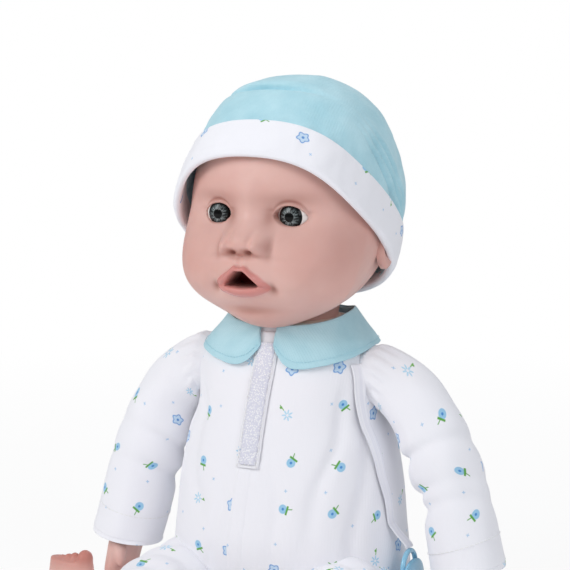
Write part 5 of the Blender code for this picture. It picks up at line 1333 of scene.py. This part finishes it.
iris_angle = math.asin(0.0071 / eye_radius)
for side, label in ((-1, "right"), (1, "left")):
    gaze = Vector((side * 0.02, -1.0, -0.03)).normalized()
    turned = Vector((0, 0, 1)).rotation_difference(gaze).to_matrix()
    centre = head_centre + Vector((side * eye_spacing / 2, -eye_depth, -eye_drop))
    form = bmesh.new()
    unwrap = form.loops.layers.uv.new("iris")
    lines, turns = [], 96
    steps = [math.pi * (k / 72) ** 1.5 for k in range(1, 72)]
    for angle in steps:
        ring = []
        dome = 0.00035 * max(0.0, 1 - (angle / iris_angle) ** 2)
        for j in range(turns):
            way = Vector((math.sin(angle) * math.cos(2 * math.pi * j / turns),
                          math.sin(angle) * math.sin(2 * math.pi * j / turns),
                          math.cos(angle)))
            ring.append(form.verts.new(centre + turned @ way * (eye_radius + dome)))
        lines.append(ring)
    front = form.verts.new(centre + turned @ Vector((0, 0, eye_radius + 0.00035)))
    back = form.verts.new(centre - turned @ Vector((0, 0, eye_radius)))

    def pin(face, corners):
        for loop, (j, angle) in zip(face.loops, corners):
            loop[unwrap].uv = (j / turns,
                               math.sin(angle) / math.sin(iris_angle) if angle < math.pi / 2 else 2.0)

    for k, (near, far) in enumerate(zip(lines, lines[1:])):
        for j in range(turns):
            face = form.faces.new((near[j], near[(j + 1) % turns], far[(j + 1) % turns], far[j]))
            pin(face, ((j, steps[k]), (j + 1, steps[k]), (j + 1, steps[k + 1]), (j, steps[k + 1])))
    for j in range(turns):
        pin(form.faces.new((lines[0][j], lines[0][(j + 1) % turns], front)),
            ((j, steps[0]), (j + 1, steps[0]), (j + 0.5, 0.0)))
        pin(form.faces.new((lines[-1][j], lines[-1][(j + 1) % turns], back)),
            ((j, 3.0), (j + 1, 3.0), (j, 3.1)))
    bmesh.ops.recalc_face_normals(form, faces=form.faces)
    eye_mesh = bpy.data.meshes.new("acrylic_eye_" + label)
    form.to_mesh(eye_mesh)
    form.free()
    eye_mesh.shade_smooth()
    eye_mesh.materials.append(acrylic)
    eye = bpy.data.objects.new("acrylic_eye_" + label, eye_mesh)
    bpy.context.scene.collection.objects.link(eye)
    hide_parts("eye_" + label)
    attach(eye, "head")

# ------------------------------------------------------------------ hat
# A close cap of light blue jersey with a turned-up cuff of the romper's print. It is sewn from a back and a front
# panel and stretched over the head; a loose fold lies across its front, and the jersey buckles above the cuff.

hat_tilt = math.radians(42.0)
hat_axis = Vector((0.0, math.sin(hat_tilt), math.cos(hat_tilt)))
hat_back = Vector((0.0, math.cos(hat_tilt), -math.sin(hat_tilt)))
hat_rise, hat_half_across, hat_half_along = 0.0736, 0.0622, 0.0688


def bell(value, width):
    """1 at zero, falling away over a width."""
    return math.exp(-((value / width) ** 2))


def on_hat(height, angle, outset):
    """Point of the hat: height along its own axis, angle from its front toward the doll's left."""
    # the rim is drawn down over the ears on both sides
    if angle > 0:
        height -= 0.0074 * bell(angle - 1.20, 0.58) * min(1.0, max(0.0, (0.034 - height) / 0.028))
    else:
        height -= 0.0105 * bell(angle + 1.35, 0.50) * min(1.0, max(0.0, (0.008 - height) / 0.028))
    share = min(1.0, max(0.0, height / (hat_rise + outset)))
    narrow = max(0.0, 1.0 - share**2.3) ** (1 / 2.3)
    side, ahead = math.sin(angle), math.cos(angle)
    across = math.copysign(abs(side) ** (2 / 2.3), side) * (hat_half_across + outset) * narrow
    along = math.copysign(abs(ahead) ** (2 / 2.3), ahead) * (hat_half_along + outset) * narrow
    return head_centre + hat_axis * height + Vector((across, 0, 0)) - hat_back * along


def crown_outset(height, angle):
    """How far the jersey stands off its plain shape: folds, buckles and slack."""
    front = bell(angle + 0.20, 0.48)
    loose = 0.0012 * front * bell(height - 0.0412 + 0.004 * angle, 0.0040)
    crease = -0.0038 * front * bell(height - 0.0352 + 0.004 * angle, 0.0018)
    side = bell(angle - 1.46, 0.36)
    buckles = 0.0
    for start, slope, deep in ((0.0115, -0.022, 1.0), (0.0170, -0.020, 0.9), (0.0235, -0.018, 0.7)):
        buckles -= 0.0034 * deep * side * bell(height - start - slope * (angle - 1.42), 0.0012)
        buckles += 0.0014 * deep * side * bell(height - start - 0.0028 - slope * (angle - 1.42), 0.0018)
    way = Vector((math.sin(angle) * 2.2, math.cos(angle) * 2.2, height * 42.0))
    slack = 0.0011 * noise.noise(way) + 0.0004 * noise.noise(way * 3.1)
    near_cuff = 0.0006 * math.sin(angle * 23 + 2 * noise.noise(way)) * bell(height - 0.005, 0.004)
    seam = -0.0007 * (bell(math.sin(angle) - 1.0, 0.0012) if math.cos(angle) < 0.3 else 0.0)
    fade = min(1.0, max(0.0, (hat_rise - height) / 0.012)) ** 0.5
    return (loose + crease + buckles + slack + near_cuff + seam) * fade


rows = []
turns = np.linspace(0, 2 * math.pi, 240, endpoint=False) - math.pi
for height in np.concatenate([np.linspace(-0.0180, 0.050, 120),
                              hat_rise * np.sin(np.linspace(0.80, 1.568, 44))]):
    if rows and height <= rows[-1][1] + 1e-5:
        continue
    rows.append(([on_hat(height, t, 0.0) + (on_hat(height, t, 0.001) - on_hat(height, t, 0.0)).normalized()
                  * crown_outset(height, t) for t in turns], height))
crown = skin("jersey_hat_crown", [row for row, _ in rows], blue_jersey, caps=(False, True), wall=0.0014,
             levels=0)
crown = settle(crown)
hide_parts("hat_crown")
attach(crown, "hat")

# the cuff: doubled print cotton, soft and a little thick, its lower edge a round fold
hat_cotton = flower_print("white_printed_cotton_cuff", 0.034, 23)
cuff_low, cuff_high = -0.0205, 0.0052


def cuff_outset(height, angle):
    """Slack of the cuff between its fold and the row of stitches that holds its top."""
    way = Vector((math.sin(angle) * 3.0, math.cos(angle) * 3.0, height * 30.0))
    share = (height - cuff_low) / (cuff_high - cuff_low)
    puff = 0.0012 * math.sin(math.pi * share)
    return puff + 0.0011 * noise.noise(way) + 0.0005 * noise.noise(way * 3.0 + Vector((4, 0, 0)))


rows = []
fold_radius, fold_inner = 0.0022, -0.0020
for turn_in in np.linspace(-math.pi / 2, math.pi / 2, 9)[:-1]:
    # round the fold from the inner ply to the outer one
    height = cuff_low + fold_radius * (1 - math.cos(turn_in))
    rows.append([on_hat(height, t, fold_inner + fold_radius * (1 + math.sin(turn_in))) for t in turns])
for height in np.linspace(cuff_low + fold_radius, cuff_high - 0.0010, 22):
    rows.append([on_hat(height, t,
                        fold_inner + 2 * fold_radius - 0.0006 * (height - cuff_low) / (cuff_high - cuff_low)
                        + cuff_outset(height, t)) for t in turns])
for height, outset in ((cuff_high - 0.0003, 0.0020), (cuff_high, 0.0012), (cuff_high - 0.0004, 0.0006)):
    rows.append([on_hat(height, t, outset) for t in turns])
rows.append(rows[0])
cuff = skin("printed_hat_cuff", rows, hat_cotton, levels=1)
form = bmesh.new()
form.from_mesh(cuff.data)
bmesh.ops.remove_doubles(form, verts=form.verts, dist=1e-6)
bmesh.ops.recalc_face_normals(form, faces=form.faces)
if form.calc_volume(signed=True) < 0:
    bmesh.ops.reverse_faces(form, faces=form.faces)
form.to_mesh(cuff.data)
form.free()
cuff = settle(cuff)
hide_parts("hat_cuff")
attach(cuff, "hat")

# ------------------------------------------------------------------ pocket flap
# A flap of the body cloth closes the pocket in the doll's back over the sound module, beneath the romper.

flap = copy_of("pocket_flap", "cloth_pocket_flap")
form = bmesh.new()
form.from_mesh(flap.data)
bmesh.ops.recalc_face_normals(form, faces=form.faces)
# deeper and narrower than in the CAD, so that its edge doesn't show through the romper
flap_give, flap_narrowing = 0.0022, 0.93
bmesh.ops.translate(form, verts=form.verts, vec=(0.0, -flap_give, 0.0))
bmesh.ops.scale(form, verts=form.verts, vec=(flap_narrowing, 1.0, 1.0))
form.to_mesh(flap.data)
form.free()
edges = flap.modifiers.new("soft_edges", "BEVEL")
edges.width = 0.0006
edges.segments = 2
edges.limit_method = "ANGLE"
settle(flap)
flap.data.materials.clear()
flap.data.materials.append(body_cloth)
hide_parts("pocket_flap")
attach(flap, "torso")

# ------------------------------------------------------------------ nylon ties
# Plain natural-nylon cable ties, moulded with a fine lengthwise grain, draw the cloth into the grooves of the
# neck, the forearms and the lower legs.

tie_nylon, tree, shader = new_material("natural_nylon_tie", 0.38, Subsurface_Weight=0.15,
                                       Subsurface_Scale=0.001)
place = add(tree, "TexCoord").outputs["Object"]
grain = add(tree, "TexNoise", place, at={"Scale": 260.0, "Detail": 2.0})
hue = ramp(tree, grain.outputs[0], (0.0, "#DBD8CB"), (1.0, "#EDEBE0"))
tree.links.new(hue.outputs[0], shader.inputs["Base Color"])
for name in ("neck_tie", "arm_tie_right", "arm_tie_left", "leg_tie_right", "leg_tie_left"):
    nodes[name].data.materials[0] = tie_nylon

# ------------------------------------------------------------------ sound module
# A squeeze module in the trunk: a two-part ABS case with a speaker grille in front, a red push button under the
# chest, a screwed battery door behind, two cells between plated contacts, and a small board.


def moulded(name, pale, deep, roughness, grit, depth):
    """Injection-moulded plastic: an even colour and the fine spark-eroded texture of the tool."""
    material, tree, shader = new_material(name, roughness)
    place = add(tree, "TexCoord").outputs["Object"]
    cloud = add(tree, "TexNoise", place, at={"Scale": 45.0, "Detail": 3.0})
    hue = ramp(tree, cloud.outputs[0], (0.35, deep), (0.65, pale))
    tree.links.new(hue.outputs[0], shader.inputs["Base Color"])
    texture = add(tree, "TexNoise", place, at={"Scale": grit, "Detail": 2.0})
    lift = add(tree, "Bump", at={"Strength": depth, "Distance": 0.0001, "Height": texture.outputs[0]})
    tree.links.new(lift.outputs[0], shader.inputs["Normal"])
    return material, tree, shader


case_abs, tree, shader = moulded("ivory_textured_abs_case", "#E7E6E0", "#DEDCD4", 0.50, 1800.0, 0.25)
for name in ("module_front", "module_back", "battery_door"):
    nodes[name].data.materials[0] = case_abs
button_abs, tree, shader = moulded("red_glossy_abs_button", "#C4302B", "#B52722", 0.22, 900.0, 0.04)
nodes["push_button"].data.materials[0] = button_abs
board_mask, tree, shader = moulded("green_solder_mask_board", "#1D6B3A", "#165A30", 0.30, 700.0, 0.10)
nodes["circuit_board"].data.materials[0] = board_mask
speaker_black, tree, shader = moulded("black_paper_cone_speaker", "#232325", "#1A1A1C", 0.62, 2400.0, 0.4)
nodes["speaker"].data.materials[0] = speaker_black

# nickel-plated steel: drawn wire and stamped strip with faint scratches along it
plated_steel, tree, shader = new_material("nickel_plated_steel", 0.26, Metallic=1.0)
place = add(tree, "TexCoord").outputs["Object"]
drawn = add(tree, "TexNoise",
            add(tree, "VectorMath", place, (1.0, 6.0, 6.0), operation="MULTIPLY").outputs[0],
            at={"Scale": 400.0, "Detail": 3.0})
hue = ramp(tree, drawn.outputs[0], (0.0, "#B8B7B4"), (1.0, "#CFCECA"))
tree.links.new(hue.outputs[0], shader.inputs["Base Color"])
polish = add(tree, "MapRange", drawn.outputs[0], 0.3, 0.7, 0.20, 0.32)
tree.links.new(polish.outputs[0], shader.inputs["Roughness"])
for name in ("door_screw", "button_spring", "contact_right", "contact_left"):
    nodes[name].data.materials[0] = plated_steel

# the cells' lacquered jackets: a green sleeve with a pale band round the positive end
jacket, tree, shader = new_material("lacquered_cell_jacket", 0.28, Coat_Weight=0.5, Coat_Roughness=0.1)
place = add(tree, "SeparateXYZ", add(tree, "TexCoord").outputs["Object"])
band = add(tree, "Math", place.outputs[0], 0.0125, operation="GREATER_THAN")
sleeve_hue = add(tree, "TexNoise", add(tree, "TexCoord").outputs["Object"], at={"Scale": 60.0})
greens = ramp(tree, sleeve_hue.outputs[0], (0.0, "#1E4A2E"), (1.0, "#28593A"))
paint = add(tree, "Mix", data_type="RGBA")
tree.links.new(band.outputs[0], paint.inputs[0])
tree.links.new(greens.outputs[0], paint.inputs[6])
paint.inputs[7].default_value = from_hex("#B9B49C")
tree.links.new(paint.outputs[2], shader.inputs["Base Color"])
for name in ("cell_upper", "cell_lower"):
    nodes[name].data.materials[0] = jacket
